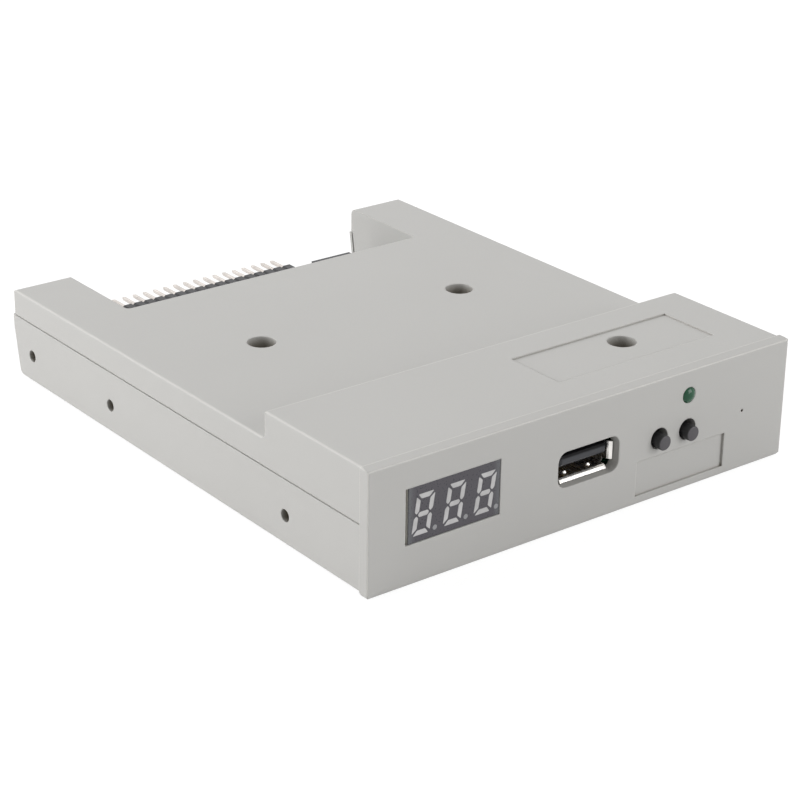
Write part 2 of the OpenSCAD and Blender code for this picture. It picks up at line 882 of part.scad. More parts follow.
// Three self-tapping screws hold the housings and the board together
module case_screws() {
  color(steel_colour)
    in_place()
      for (spot = well_spots)
        translate([spot[0], spot[1], screw_tip_z])
          difference() {
            union() {
              cylinder(h = screw_l, d = screw_d);
              translate([0, 0, screw_l])
                cylinder(h = screw_head_h, d = screw_head_d);
            }
            for (turn = [0, 90])
              rotate([0, 0, turn])
                translate([0, 0, screw_l + screw_head_h])
                  cube([screw_head_d / 2, screw_head_d / 6, screw_head_h], center = true);
          }
}

// Main board

controller_at = board_spot(controller_shares);
crystal_at = board_spot(crystal_shares);
regulator_at = board_spot(regulator_shares);
service_at = board_spot(service_shares);
resistor_row_at = board_spot(resistor_row_shares);

board_outline = [
  [-board_w / 2, board_step_y],
  [board_step_x, board_step_y],
  [board_step_x, board_front],
  [board_w / 2, board_front],
  [board_w / 2, tail_y],
  [tail_w / 2, tail_y],
  [tail_w / 2, board_rear],
  [-tail_w / 2, board_rear],
  [-tail_w / 2, tail_y],
  [-board_w / 2, tail_y],
];

function header_column_x(i) = header_x + (i - (header_columns - 1) / 2) * pin_pitch;
function jumper_column_x(i) = jumper_x + (i - (jumper_columns - 1) / 2) * pin_pitch;
function power_column_x(i) = power_x + (i - (power_pin_count - 1) / 2) * pin_pitch;
function board_spot(share) = [share[0] * board_w / 2, share[1] * board_rear];
function wire_x(i) = plug_x + (i - (wire_count - 1) / 2) * wire_pitch;
function row_foot_y(row) = header_front - pin_pitch / 2 - row * pin_pitch;

module board_hole(x, y, d) {
  translate([x, y, board_low - overrun])
    cylinder(h = board_t + 2 * overrun, d = d);
}

module main_board() {
  color(board_colour)
    in_place()
      difference() {
        along_z(board_low, board_t)
          polygon(board_outline);
        for (spot = well_spots)
          board_hole(spot[0], spot[1], screw_hole_d);
        for (i = [0 : header_columns - 1], row = [0, 1])
          board_hole(header_column_x(i), row_foot_y(row), pin_hole);
        for (i = [0 : jumper_columns - 1])
          board_hole(jumper_column_x(i), jumper_foot_y, pin_hole);
        for (i = [0 : power_pin_count - 1])
          board_hole(power_column_x(i), power_foot_y, power_pin_w + 2 * slip);
        for (side = [-1, 1], y = port_leg_ys)
          board_hole(port_x + side * (port_out_w - port_sheet_t) / 2, y, port_leg_w + 2 * slip);
        for (share = contact_shares)
          board_hole(port_x + share * port_in_w, contact_foot_y, contact_w + 2 * slip);
        for (x = switch_xs, side = [-1, 1])
          board_hole(x + side * switch_contact_side, switch_contact_y, leg_hole_d);
        for (x = switch_xs, side = [-1, 1])
          board_hole(x + side * (switch_s + cover_t) / 2, bracket_leg_y, leg_hole_d);
        for (side = [-1, 1])
          board_hole(lamp_x + side * lamp_lead_pitch / 2, lamp_lead_y, lamp_lead_w + 2 * slip);
        for (i = [0 : service_columns - 1])
          board_hole(service_at[0], service_at[1] + i * pin_pitch, pin_hole);
        for (side = [-1, 1])
          board_hole(crystal_at[0] + side * crystal_pitch / 2, crystal_at[1],
            lamp_lead_w + 2 * slip);
      }
}

// Headers at the rear

// Row of moulded cells with a groove between neighbours, drawn from its left end
function cell_row(count, h) = concat(
  [for (i = [0 : count - 1]) each [
    [i * pin_pitch, header_groove],
    [i * pin_pitch + header_groove, 0],
    [(i + 1) * pin_pitch - header_groove, 0]]],
  [[count * pin_pitch, header_groove], [count * pin_pitch, h - header_groove]],
  [for (i = [count - 1 : -1 : 0]) each [
    [(i + 1) * pin_pitch - header_groove, h],
    [i * pin_pitch + header_groove, h],
    [i * pin_pitch, h - header_groove]]]
);

// Pin that runs rearwards out of a header and turns down into the board
module angle_pin(x, w, foot_y, tip_y, z) {
  box_at([x - w / 2, x + w / 2], [foot_y - w / 2, tip_y], [z - w / 2, z + w / 2]);
  box_at([x - w / 2, x + w / 2], [foot_y - w / 2, foot_y + w / 2], [board_low - leg_below, z]);
}

function row_z(row) = board_top + (row + 1 / 2) * pin_pitch;

module header_pin_set() {
  for (i = [0 : header_columns - 1], row = [0, 1])
    angle_pin(header_column_x(i), pin_w, row_foot_y(row), pin_tip_y, row_z(row));
}

module header_body() {
  color(black_colour)
    in_place()
      difference() {
        translate([header_x - header_w / 2, 0, board_top])
          along_y(header_front, pin_pitch)
            polygon(cell_row(header_columns, 2 * pin_pitch - header_trim));
        header_pin_set();
      }
}

module header_pins() {
  color(tin_colour)
    in_place()
      header_pin_set();
}

power_foot_y = power_rear - power_l - power_pin_w;
power_pin_z = board_top + power_shelf_t + 1.5 * power_pin_w;

module power_pin_set() {
  for (i = [0 : power_pin_count - 1])
    angle_pin(power_column_x(i), power_pin_w, power_foot_y, power_rear + power_shelf_l,
      power_pin_z);
}

module power_body() {
  wide = power_w / 2;
  color(black_colour)
    in_place()
      difference() {
        union() {
          box_at([power_x - wide, power_x + wide], [power_rear - power_l, power_rear],
            [board_top, board_top + power_h]);
          box_at([power_x - wide, power_x + wide], [power_rear, power_rear + power_shelf_l],
            [board_top, board_top + power_shelf_t]);
        }
        power_pin_set();
      }
}

module power_pins() {
  color(tin_colour)
    in_place()
      power_pin_set();
}

module jumper_pin_set() {
  for (i = [0 : jumper_columns - 1])
    angle_pin(jumper_column_x(i), pin_w, jumper_foot_y, jumper_rear + pin_l, row_z(0));
}

module jumper_body() {
  color(black_colour)
    in_place()
      difference() {
        translate([jumper_x - jumper_w / 2, 0, board_top])
          along_y(jumper_rear - pin_pitch, pin_pitch)
            polygon(cell_row(jumper_columns, pin_pitch));
        jumper_pin_set();
      }
}

module jumper_pins() {
  color(tin_colour)
    in_place()
      jumper_pin_set();
}

// The cap bridges two of the three jumper pins and pulls off rearwards
module jumper_cap() {
  color(black_colour)
    in_place()
      difference() {
        box_at([cap_x - cap_w / 2, cap_x + cap_w / 2], [cap_y, cap_y + cap_l],
          [cap_z - cap_h / 2, cap_z + cap_h / 2]);
        box_at([cap_x - cap_slot_w / 2, cap_x + cap_slot_w / 2],
          [cap_y - overrun, cap_y + cap_l - cap_wall],
          [cap_z - cap_slot_h / 2, cap_z + cap_slot_h / 2]);
      }
}

module jumper_clip() {
  wide = cap_slot_w / 2 - small_slip;
  back = cap_y + cap_l - cap_wall;
  half_room = pin_w / 2 + small_slip;
  color(gold_colour)
    in_place()
      difference() {
        box_at([cap_x - wide, cap_x + wide], [cap_y + slip, back],
          [cap_z - cap_slot_h / 2, cap_z + cap_slot_h / 2]);
        box_at([cap_x - wide - overrun, cap_x + wide + overrun],
          [cap_y - overrun, back - clip_t], [cap_z - half_room, cap_z + half_room]);
      }
}

// Port

port_front = port_set_back;
port_back = port_set_back + port_d;
port_leg_ys = [for (share = port_leg_shares) port_front + share * port_d];
contact_foot_y = port_back - port_block_l / 2;
tongue_z = port_z + tongue_rise;

// Side view of a flared lip: depth behind the lips' front, then reach from the shell's inner face
port_lip = [
  [port_relief + overrun, 0],
  [port_lip_l, 0],
  [lip_bend_shares[0] * port_lip_l, lip_bend_shares[1] * port_lip_reach],
  [0, port_lip_reach],
  [port_sheet_t * sin(port_lip_turn), port_lip_reach + port_sheet_t * cos(port_lip_turn)],
  [port_lip_l + port_sheet_t / 2, port_sheet_t],
  [port_relief + overrun, port_sheet_t],
];

// Four lips, each on its own tab in front of the shell
module port_lips() {
  lip_w = port_lip_shares[0] * port_in_w;
  lip_h = port_lip_shares[1] * port_in_h;
  for (side = [-1, 1]) {
    translate([port_x, port_front, port_z + side * port_in_h / 2])
      along_x(lip_w)
        polygon([for (p = port_lip) [p[0], side * p[1]]]);
    translate([port_x + side * port_in_w / 2, port_front, 0])
      along_z(port_z - lip_h / 2, lip_h)
        polygon([for (p = port_lip) [side * p[1], p[0]]]);
  }
}

// Raised spots of the springs on the lower tab
module port_springs() {
  for (side = [-1, 1])
    translate([port_x + side * port_spring_side, port_front + port_spring_y,
      port_z - (port_in_h + port_sheet_t) / 2])
      cylinder(h = port_spring_h + port_sheet_t / 2, d1 = port_spring_d, d2 = port_spring_d / 2);
}

module port_shell() {
  wide = port_out_w / 2;
  tall = port_out_h / 2;
  in_wide = port_in_w / 2;
  in_tall = port_in_h / 2;
  inner_r = port_shell_r - port_sheet_t;
  tube_front = port_front + port_relief;
  color(steel_colour)
    in_place() {
      difference() {
        along_y(tube_front, port_d - port_relief)
          polygon(rounded(port_x - wide, port_x + wide, port_z - tall, port_z + tall,
            even(port_shell_r)));
        along_y(tube_front - overrun, port_d - port_relief + overrun - port_sheet_t)
          polygon(rounded(port_x - in_wide, port_x + in_wide, port_z - in_tall, port_z + in_tall,
            even(inner_r)));
        box_at([port_x - tongue_w / 2, port_x + tongue_w / 2],
          [contact_foot_y - contact_w, contact_foot_y + contact_w],
          [port_z - tall - overrun, port_z - in_tall + overrun]);
      }
      port_lips();
      port_springs();
      for (side = [-1, 1], y = port_leg_ys) {
        mid = port_x + side * (port_out_w - port_sheet_t) / 2;
        box_at([mid - port_sheet_t / 2, mid + port_sheet_t / 2],
          [y - port_leg_w / 2, y + port_leg_w / 2], [board_low - leg_below, port_z]);
      }
    }
}

module port_contact_set() {
  for (share = contact_shares) {
    mid = port_x + share * port_in_w;
    box_at([mid - contact_w / 2, mid + contact_w / 2],
      [port_front + tongue_set_back + contact_w, contact_foot_y + contact_t / 2],
      [tongue_z - tongue_t / 2 - contact_t, tongue_z - tongue_t / 2]);
    box_at([mid - contact_w / 2, mid + contact_w / 2],
      [contact_foot_y - contact_t / 2, contact_foot_y + contact_t / 2],
      [board_low - leg_below, tongue_z - tongue_t / 2]);
  }
}

// Insulator of the port: a block at the back of the shell with the tongue that carries the contacts
module port_tongue() {
  front = port_front + tongue_set_back;
  block_front = port_back - port_sheet_t - port_block_l;
  wide = port_in_w / 2 - small_slip;
  tall = port_in_h / 2 - small_slip;
  color(black_colour)
    in_place()
      difference() {
        union() {
          along_y(block_front, port_block_l)
            polygon(rounded(port_x - wide, port_x + wide,
              port_z - port_in_h / 2, port_z + tall, even(port_shell_r)));
          intersection() {
            translate([port_x, 0, 0])
              along_z(tongue_z - tongue_t / 2, tongue_t)
                polygon([
                  [-tongue_w / 2, block_front + overrun],
                  [-tongue_w / 2, front + tongue_edge],
                  [-tongue_w / 2 + tongue_edge, front],
                  [tongue_w / 2 - tongue_edge, front],
                  [tongue_w / 2, front + tongue_edge],
                  [tongue_w / 2, block_front + overrun],
                ]);
            translate([port_x, 0, tongue_z])
              along_x(port_in_w)
                polygon([
                  [port_back, -tongue_t / 2],
                  [front + tongue_bevel, -tongue_t / 2],
                  [front, tongue_bevel - tongue_t / 2],
                  [front, tongue_t / 2 - tongue_bevel],
                  [front + tongue_bevel, tongue_t / 2],
                  [port_back, tongue_t / 2],
                ]);
          }
        }
        port_contact_set();
      }
}

module port_contacts() {
  color(gold_colour)
    in_place()
      port_contact_set();
}

// Push buttons

switch_contact_side = 0.36 * switch_s;
switch_contact_y = base_front + base_d * 0.7;
bracket_leg_y = base_front + base_d * 0.35;
dome_back = base_front + dome_pocket;
plunger_stop = dome_back - dome_h - plunger_travel / 6;

// Plunger with a collar that is trapped between the cover and the dome
module plunger(x) {
  edge = plunger_d / 12;
  translate([x, 0, switch_z])
    rotate([-90, 0, 0])
      rotate_extrude()
        polygon([
          [0, -plunger_proud],
          [plunger_d / 2 - edge, -plunger_proud],
          [plunger_d / 2, edge - plunger_proud],
          [plunger_d / 2, base_front + small_slip],
          [flange_d / 2, base_front + small_slip],
          [flange_d / 2, base_front + small_slip + flange_t],
          [flange_d / 4, base_front + small_slip + flange_t],
          [flange_d / 4, plunger_stop],
          [0, plunger_stop],
        ]);
}

module switch_base(x) {
  difference() {
    box_at([x - switch_s / 2, x + switch_s / 2], [base_front, base_front + base_d],
      [board_top, board_top + switch_s]);
    hole_y(x, switch_z, dome_pocket_d, base_front - overrun, dome_back);
  }
}

// Snap dome, a thin shallow cone with a flat top
module switch_dome(x) {
  translate([x, 0, switch_z])
    rotate([-90, 0, 0])
      rotate_extrude()
        polygon([
          [0, dome_back - dome_h],
          [dome_d / 5, dome_back - dome_h],
          [dome_d / 2, dome_back - dome_t],
          [dome_d / 2, dome_back],
          [dome_d / 2 - dome_t, dome_back],
          [dome_d / 5, dome_back - dome_h + dome_t],
          [0, dome_back - dome_h + dome_t],
        ]);
}

// Metal cover with two wings that run down into the board
module switch_cover(x) {
  wide = switch_s / 2 + cover_t;
  wing_back = bracket_leg_y + 1.6 * leg_w;
  difference() {
    box_at([x - wide, x + wide], [switch_front, base_front], [board_top, board_top + switch_s]);
    hole_y(x, switch_z, plunger_d + 2 * slip, switch_front - overrun, base_front + overrun);
  }
  for (side = [-1, 1]) {
    span = side > 0 ? [x + switch_s / 2, x + wide] : [x - wide, x - switch_s / 2];
    box_at(span, [base_front - cover_t / 2, wing_back], [board_top, switch_z + leg_w]);
    box_at(span, [bracket_leg_y - leg_w / 2, bracket_leg_y + leg_w / 2],
      [board_low - leg_below, board_top + leg_w]);
  }
}

module up_plunger() {
  color(black_colour)
    in_place()
      plunger(switch_xs[1]);
}

module down_plunger() {
  color(black_colour)
    in_place()
      plunger(switch_xs[0]);
}

module up_switch_base() {
  color(black_colour)
    in_place()
      switch_base(switch_xs[1]);
}

module down_switch_base() {
  color(black_colour)
    in_place()
      switch_base(switch_xs[0]);
}

module up_switch_cover() {
  color(steel_colour)
    in_place()
      switch_cover(switch_xs[1]);
}

module down_switch_cover() {
  color(steel_colour)
    in_place()
      switch_cover(switch_xs[0]);
}

module up_switch_dome() {
  color(steel_colour)
    in_place()
      switch_dome(switch_xs[1]);
}

module down_switch_dome() {
  color(steel_colour)
    in_place()
      switch_dome(switch_xs[0]);
}

module switch_legs() {
  color(tin_colour)
    in_place()
      for (x = switch_xs, side = [-1, 1]) {
        mid = x + side * switch_contact_side;
        box_at([mid - leg_w / 2, mid + leg_w / 2],
          [switch_contact_y - leg_t / 2, switch_contact_y + leg_t / 2],
          [board_low - leg_below, board_top]);
      }
}

// Lamp

module lamp_lens() {
  tip = -lamp_proud;
  steps = 3 * corner_steps;
  color([0.08, 0.42, 0.22])
    in_place()
      translate([lamp_x, 0, lamp_z])
        rotate([-90, 0, 0])
          rotate_extrude()
            polygon(concat(
              [for (i = [0 : steps])
                let (a = 90 * i / steps)
                  [lamp_d / 2 * sin(a), tip + lamp_d / 2 * (1 - cos(a))]],
              [
                [lamp_d / 2, lamp_back - lamp_flange_t],
                [lamp_flange_d / 2, lamp_back - lamp_flange_t],
                [lamp_flange_d / 2, lamp_back],
                [0, lamp_back],
              ]));
}

module lamp_leads() {
  color(tin_colour)
    in_place()
      for (side = [-1, 1]) {
        x = lamp_x + side * lamp_lead_pitch / 2;
        box_at([x - lamp_lead_w / 2, x + lamp_lead_w / 2],
          [lamp_back, lamp_lead_y + lamp_lead_w / 2],
          [lamp_z - lamp_lead_w / 2, lamp_z + lamp_lead_w / 2]);
        box_at([x - lamp_lead_w / 2, x + lamp_lead_w / 2],
          [lamp_lead_y - lamp_lead_w / 2, lamp_lead_y + lamp_lead_w / 2],
          [board_low - leg_below, lamp_z]);
      }
}

// Display

function slanted(points, x0) =
  [for (p = points) [x0 + p[0] + digit_slant_share * p[1], digit_z + p[1]]];

// Outline whose corners are cut back by r and eased with one point between
function eased(points, r) = [
  for (i = [0 : len(points) - 1])
    let (
      p = points[i],
      before = points[(i + len(points) - 1) % len(points)] - p,
      after = points[(i + 1) % len(points)] - p,
      a = p + r * before / norm(before),
      b = p + r * after / norm(after)
    )
    each [a, (a + 2 * p + b) / 4, b]
];

// Outlines of the seven segments of a digit, measured from the digit's middle
seg_x = digit_w / 2;
seg_z = digit_h / 2;
seg_s = segment_w;
seg_g = segment_gap / 2;
seg_m = segment_w / 2;

top_segment = [
  [-seg_x + 2 * seg_g, seg_z],
  [seg_x - 2 * seg_g, seg_z],
  [seg_x - seg_s - seg_g, seg_z - seg_s],
  [-seg_x + seg_s + seg_g, seg_z - seg_s],
];
side_segment = [
  [seg_x, seg_z - 3 * seg_g],
  [seg_x, seg_m + seg_g],
  [seg_x - seg_m, seg_g],
  [seg_x - seg_s, seg_m + seg_g],
  [seg_x - seg_s, seg_z - seg_s - 2 * seg_g],
];
middle_segment = [
  [-seg_x + seg_m + 2 * seg_g, 0],
  [-seg_x + seg_s + seg_g, seg_m],
  [seg_x - seg_s - seg_g, seg_m],
  [seg_x - seg_m - 2 * seg_g, 0],
  [seg_x - seg_s - seg_g, -seg_m],
  [-seg_x + seg_s + seg_g, -seg_m],
];

function flipped(points, kx, kz) = [for (p = points) [kx * p[0], kz * p[1]]];

digit_outlines = [
  top_segment,
  flipped(top_segment, 1, -1),
  middle_segment,
  side_segment,
  flipped(side_segment, -1, 1),
  flipped(side_segment, 1, -1),
  flipped(side_segment, -1, -1),
];

module segment_set() {
  for (digit = [-1, 0, 1]) {
    x0 = display_x + digit * digit_pitch;
    for (outline = digit_outlines)
      along_y(display_set_back, face_t)
        polygon(slanted(eased(outline, ease_share * segment_w), x0));
    drop = dot_drop_share * digit_h;
    hole_y(x0 + dot_side_share * digit_w - digit_slant_share * drop, digit_z - drop, dot_d,
      display_set_back, display_set_back + face_t);
  }
}

module display_pin_set() {
  for (i = [0 : display_pin_count - 1], side = [-1, 1]) {
    x = display_x + (i - (display_pin_count - 1) / 2) * pin_pitch;
    z = window_z + side * display_pin_rows;
    box_at([x - display_pin_w / 2, x + display_pin_w / 2],
      [display_back - display_pin_root, display_board_back + display_pin_tail],
      [z - display_pin_w / 2, z + display_pin_w / 2]);
  }
}

module display_case() {
  color(white_colour)
    in_place()
      difference() {
        box_at([display_x - display_w / 2, display_x + display_w / 2],
          [display_set_back + face_t, display_back],
          [window_z - display_h / 2, window_z + display_h / 2]);
        display_pin_set();
      }
}

module display_face() {
  color([0.27, 0.27, 0.29])
    in_place()
      difference() {
        box_at([display_x - display_w / 2, display_x + display_w / 2],
          [display_set_back, display_set_back + face_t],
          [window_z - display_h / 2, window_z + display_h / 2]);
        segment_set();
      }
}

module display_segments() {
  color([0.75, 0.75, 0.74])
    in_place()
      segment_set();
}

module display_pins() {
  color(tin_colour)
    in_place()
      display_pin_set();
}

module display_board() {
  color(board_colour)
    in_place()
      difference() {
        box_at([display_x - display_board_w / 2, display_x + display_board_w / 2],
          [display_back, display_board_back],
          [window_z - display_board_h / 2, window_z + display_board_h / 2]);
        for (side = [-1, 1])
          hole_y(display_x + side * display_post_side, window_z, display_screw_d + 2 * slip,
            display_back - overrun, display_board_back + overrun);
        for (i = [0 : display_pin_count - 1], side = [-1, 1])
          hole_y(display_x + (i - (display_pin_count - 1) / 2) * pin_pitch,
            window_z + side * display_pin_rows, display_pin_w + 2 * slip,
            display_back - overrun, display_board_back + overrun);
      }
}

module display_screws() {
  color(steel_colour)
    in_place()
      for (side = [-1, 1]) {
        x = display_x + side * display_post_side;
        hole_y(x, window_z, display_screw_d, bezel_t + small_slip, display_board_back + small_slip);
        difference() {
          hole_y(x, window_z, display_screw_head_d, display_board_back,
            display_board_back + display_screw_head_h);
          for (turn = [0, 90])
            translate([x, display_board_back + display_screw_head_h, window_z])
              rotate([0, turn, 0])
                cube([display_screw_head_d / 2, display_screw_head_h, display_screw_head_d / 6],
                  center = true);
        }
      }
}

// Chips with gull-wing legs, drawn lying on z = 0 with their middle at the origin

// Leg profile from the body outwards: out of the side, down and along the board
function gull_leg(h) = [
  [0, h / 2],
  [0, h / 2 + gull_t],
  [gull_reach * 0.4 + gull_t / 2, h / 2 + gull_t],
  [gull_reach * 0.6, gull_t],
  [gull_reach, gull_t],
  [gull_reach, 0],
  [gull_reach * 0.6 - gull_t / 2, 0],
  [gull_reach * 0.4 - gull_t / 2, h / 2],
];

module leg_row(count, pitch, leg_wide, side_y, h) {
  for (i = [0 : count - 1])
    translate([(i - (count - 1) / 2) * pitch, side_y, 0])
      along_x(leg_wide)
        polygon(gull_leg(h));
}

module chip_body(size) {
  translate([-size[0] / 2, -size[1] / 2, gull_lift])
    cube([size[0], size[1], size[2]]);
}

module two_sided_legs(count, pitch, leg_wide, size) {
  for (turn = [0, 180])
    rotate([0, 0, turn])
      leg_row(count, pitch, leg_wide, size[1] / 2, size[2]);
}

module controller_chip() {
  color(black_colour)
    in_place()
      translate([controller_at[0], controller_at[1], board_top])
        chip_body([controller_s, controller_s, controller_h]);
}

module controller_legs() {
  color(tin_colour)
    in_place()
      translate([controller_at[0], controller_at[1], board_top])
        for (turn = [0 : 90 : 270])
          rotate([0, 0, turn])
            leg_row(controller_pins, controller_pitch, controller_pitch * 0.45, controller_s / 2,
              controller_h);
}

module buffer_chips() {
  color(black_colour)
    in_place()
      for (share = buffer_shares)
        translate(concat(board_spot(share), board_top))
          chip_body(buffer_size);
}

module buffer_legs() {
  color(tin_colour)
    in_place()
      for (share = buffer_shares)
        translate(concat(board_spot(share), board_top))
          two_sided_legs(buffer_pins, buffer_pitch, buffer_pitch / 3, buffer_size);
}

module on_display_board() {
  translate([display_x, display_board_back, window_z])
    rotate([-90, 0, 0])
      children();
}

module driver_chip() {
  color(black_colour)
    in_place()
      on_display_board()
        chip_body(driver_size);
}

module driver_legs() {
  color(tin_colour)
    in_place()
      on_display_board()
        two_sided_legs(driver_pins, buffer_pitch, buffer_pitch / 3, driver_size);
}

// Cable connectors, drawn standing on z = 0 with their middle at the origin

module socket_form() {
  difference() {
    translate([-plug_w / 2, -plug_deep / 2, 0])
      cube([plug_w, plug_deep, socket_h]);
    translate([-plug_w / 2 + plug_wall, -plug_deep / 2 + plug_wall, 2 * plug_wall])
      cube([plug_w - 2 * plug_wall, plug_deep - 2 * plug_wall, socket_h]);
  }
}

module plug_form() {
  inner_w = plug_w - 2 * plug_wall - 2 * small_slip;
  inner_d = plug_deep - 2 * plug_wall - 2 * small_slip;
  translate([-inner_w / 2, -inner_d / 2, 2 * plug_wall])
    cube([inner_w, inner_d, socket_h + plug_rise - 2 * plug_wall]);
}

module display_socket() {
  color(white_colour)
    in_place()
      translate([plug_x, display_board_back, plug_z])
        rotate([-90, 0, 0])
          socket_form();
}

module display_plug() {
  color(white_colour)
    in_place()
      translate([plug_x, display_board_back, plug_z])
        rotate([-90, 0, 0])
          plug_form();
}

module board_socket() {
  color(white_colour)
    in_place()
      translate([plug_x, plug_y, board_top])
        socket_form();
}

module board_plug() {
  color(white_colour)
    in_place()
      translate([plug_x, plug_y, board_top])
        plug_form();
}

// Each wire leaves the display plug rearwards, bends once and drops into the board plug
module cable_wires() {
  plug_end = display_board_back + socket_h + plug_rise;
  drop_top = plug_z - wire_bend_r;
  drop_low = board_top + socket_h + plug_rise;
  color([0.75, 0.12, 0.1])
    in_place()
      for (i = [0 : wire_count - 1])
        translate([wire_x(i), 0, 0]) {
          translate([0, plug_end, plug_z])
            rotate([-90, 0, 0])
              cylinder(h = wire_run, d = wire_d);
          translate([0, plug_end + wire_run, drop_top])
            rotate([90, 0, 90])
              rotate_extrude(angle = 90)
                translate([wire_bend_r, 0])
                  circle(d = wire_d);
          translate([0, plug_y, drop_low])
            cylinder(h = drop_top - drop_low, d = wire_d);
        }
}

// Crystal

module crystal_can() {
  color(steel_colour)
    in_place()
      translate([crystal_at[0], crystal_at[1], 0])
        along_z(board_top + crystal_base_t, crystal_size[2])
          polygon(rounded(-crystal_size[0] / 2 + crystal_rim, crystal_size[0] / 2 - crystal_rim,
            -crystal_size[1] / 2 + crystal_rim, crystal_size[1] / 2 - crystal_rim,
            even(crystal_size[1] / 2 - crystal_rim)));
}

module crystal_base() {
  color(steel_colour)
    in_place()
      translate([crystal_at[0], crystal_at[1], 0])
        difference() {
          along_z(board_top, crystal_base_t)
            polygon(rounded(-crystal_size[0] / 2, crystal_size[0] / 2,
              -crystal_size[1] / 2, crystal_size[1] / 2, even(crystal_size[1] / 2)));
          for (side = [-1, 1])
            translate([side * crystal_pitch / 2, 0, board_top - overrun])
              cylinder(h = crystal_base_t + 2 * overrun, d = lamp_lead_w);
        }
}

module crystal_leads() {
  color(tin_colour)
    in_place()
      for (side = [-1, 1])
        translate([crystal_at[0] + side * crystal_pitch / 2, crystal_at[1], board_low - leg_below])
          cylinder(h = board_t + leg_below + crystal_base_t, d = lamp_lead_w);
}

// Regulator

module regulator_chip() {
  color(black_colour)
    in_place()
      translate([regulator_at[0], regulator_at[1], board_top])
        chip_body(regulator_size);
}

module regulator_legs() {
  color(tin_colour)
    in_place()
      translate([regulator_at[0], regulator_at[1], board_top]) {
        leg_row(3, regulator_pitch, regulator_pitch / 3, regulator_size[1] / 2, regulator_size[2]);
        rotate([0, 0, 180])
          leg_row(1, regulator_pitch, regulator_tab_w, regulator_size[1] / 2, regulator_size[2]);
      }
}

// Electrolytic capacitors

module capacitor_cans() {
  color(steel_colour)
    in_place()
      for (share = capacitor_shares)
        translate(concat(board_spot(share), board_top + capacitor_base_t))
          cylinder(h = capacitor_h, d = capacitor_d);
}

module capacitor_bases() {
  cut = capacitor_base_s / 5;
  half = capacitor_base_s / 2;
  color(black_colour)
    in_place()
      for (share = capacitor_shares)
        translate(concat(board_spot(share), 0))
          difference() {
            along_z(board_top, capacitor_base_t)
              polygon([
                [-half, -half],
                [half - cut, -half],
                [half, cut - half],
                [half, half - cut],
                [half - cut, half],
                [-half, half],
              ]);
            capacitor_foot_pair();
          }
}

module capacitor_foot_pair() {
  half = capacitor_base_s / 2;
  for (side = [-1, 1])
    translate([side * half, 0, board_top + gull_t / 2])
      cube([capacitor_foot_l, capacitor_foot_w, gull_t], center = true);
}

module capacitor_feet() {
  color(tin_colour)
    in_place()
      for (share = capacitor_shares)
        translate(concat(board_spot(share), 0))
          capacitor_foot_pair();
}

// Small chips

module small_chip(at) {
  translate([at[0] - small_size[0] / 2, at[1] - small_size[1] / 2, board_top])
    cube(small_size);
}

module resistor_chips() {
  color(black_colour)
    in_place()
      for (i = [0 : resistor_count - 1])
        small_chip([resistor_row_at[0] + i * resistor_pitch, resistor_row_at[1]]);
}

module ceramic_chips() {
  color([0.62, 0.5, 0.36])
    in_place()
      for (share = ceramic_shares)
        small_chip(board_spot(share));
}

// Service header

module service_pin_set() {
  for (i = [0 : service_columns - 1]) {
    y = service_at[1] + i * pin_pitch;
    box_at([service_at[0] - pin_w / 2, service_at[0] + pin_w / 2], [y - pin_w / 2, y + pin_w / 2],
      [board_low - leg_below, board_top + service_pin_l]);
  }
}

module service_header() {
  color(black_colour)
    in_place()
      difference() {
        translate([service_at[0] - pin_pitch / 2, service_at[1] - pin_pitch / 2, board_top])
          cube([pin_pitch, service_columns * pin_pitch, pin_pitch]);
        service_pin_set();
      }
}

module service_pins() {
  color(tin_colour)
    in_place()
      service_pin_set();
}

upper_housing();
lower_housing();
case_screws();
main_board();
header_body();
header_pins();
power_body();
power_pins();
jumper_body();
jumper_pins();
jumper_cap();
jumper_clip();
port_shell();
port_tongue();
port_contacts();
up_plunger();
down_plunger();
up_switch_base();
down_switch_base();
up_switch_cover();
down_switch_cover();
up_switch_dome();
down_switch_dome();
switch_legs();
lamp_lens();
lamp_leads();
display_case();
display_face();
display_segments();
display_pins();
display_board();
display_screws();
driver_chip();
driver_legs();
display_socket();
display_plug();
board_socket();
board_plug();
cable_wires();
controller_chip();
controller_legs();
buffer_chips();
buffer_legs();
crystal_can();
crystal_base();
crystal_leads();
regulator_chip();
regulator_legs();
capacitor_cans();
capacitor_bases();
capacitor_feet();
resistor_chips();
ceramic_chips();
service_header();
service_pins();
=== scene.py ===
# %% [markdown]
# # A floppy drive emulator for a 3.5 inch bay
# The object is a light grey plastic box that fits a computer's drive bay. The CAD frame already
# holds every solid at its real size, so this script only dresses it: it adds materials, light
# and a camera, and builds again the pieces whose looks need more than a plain solid.

import json
import math

import bmesh
import bpy
from mathutils import Matrix, Vector


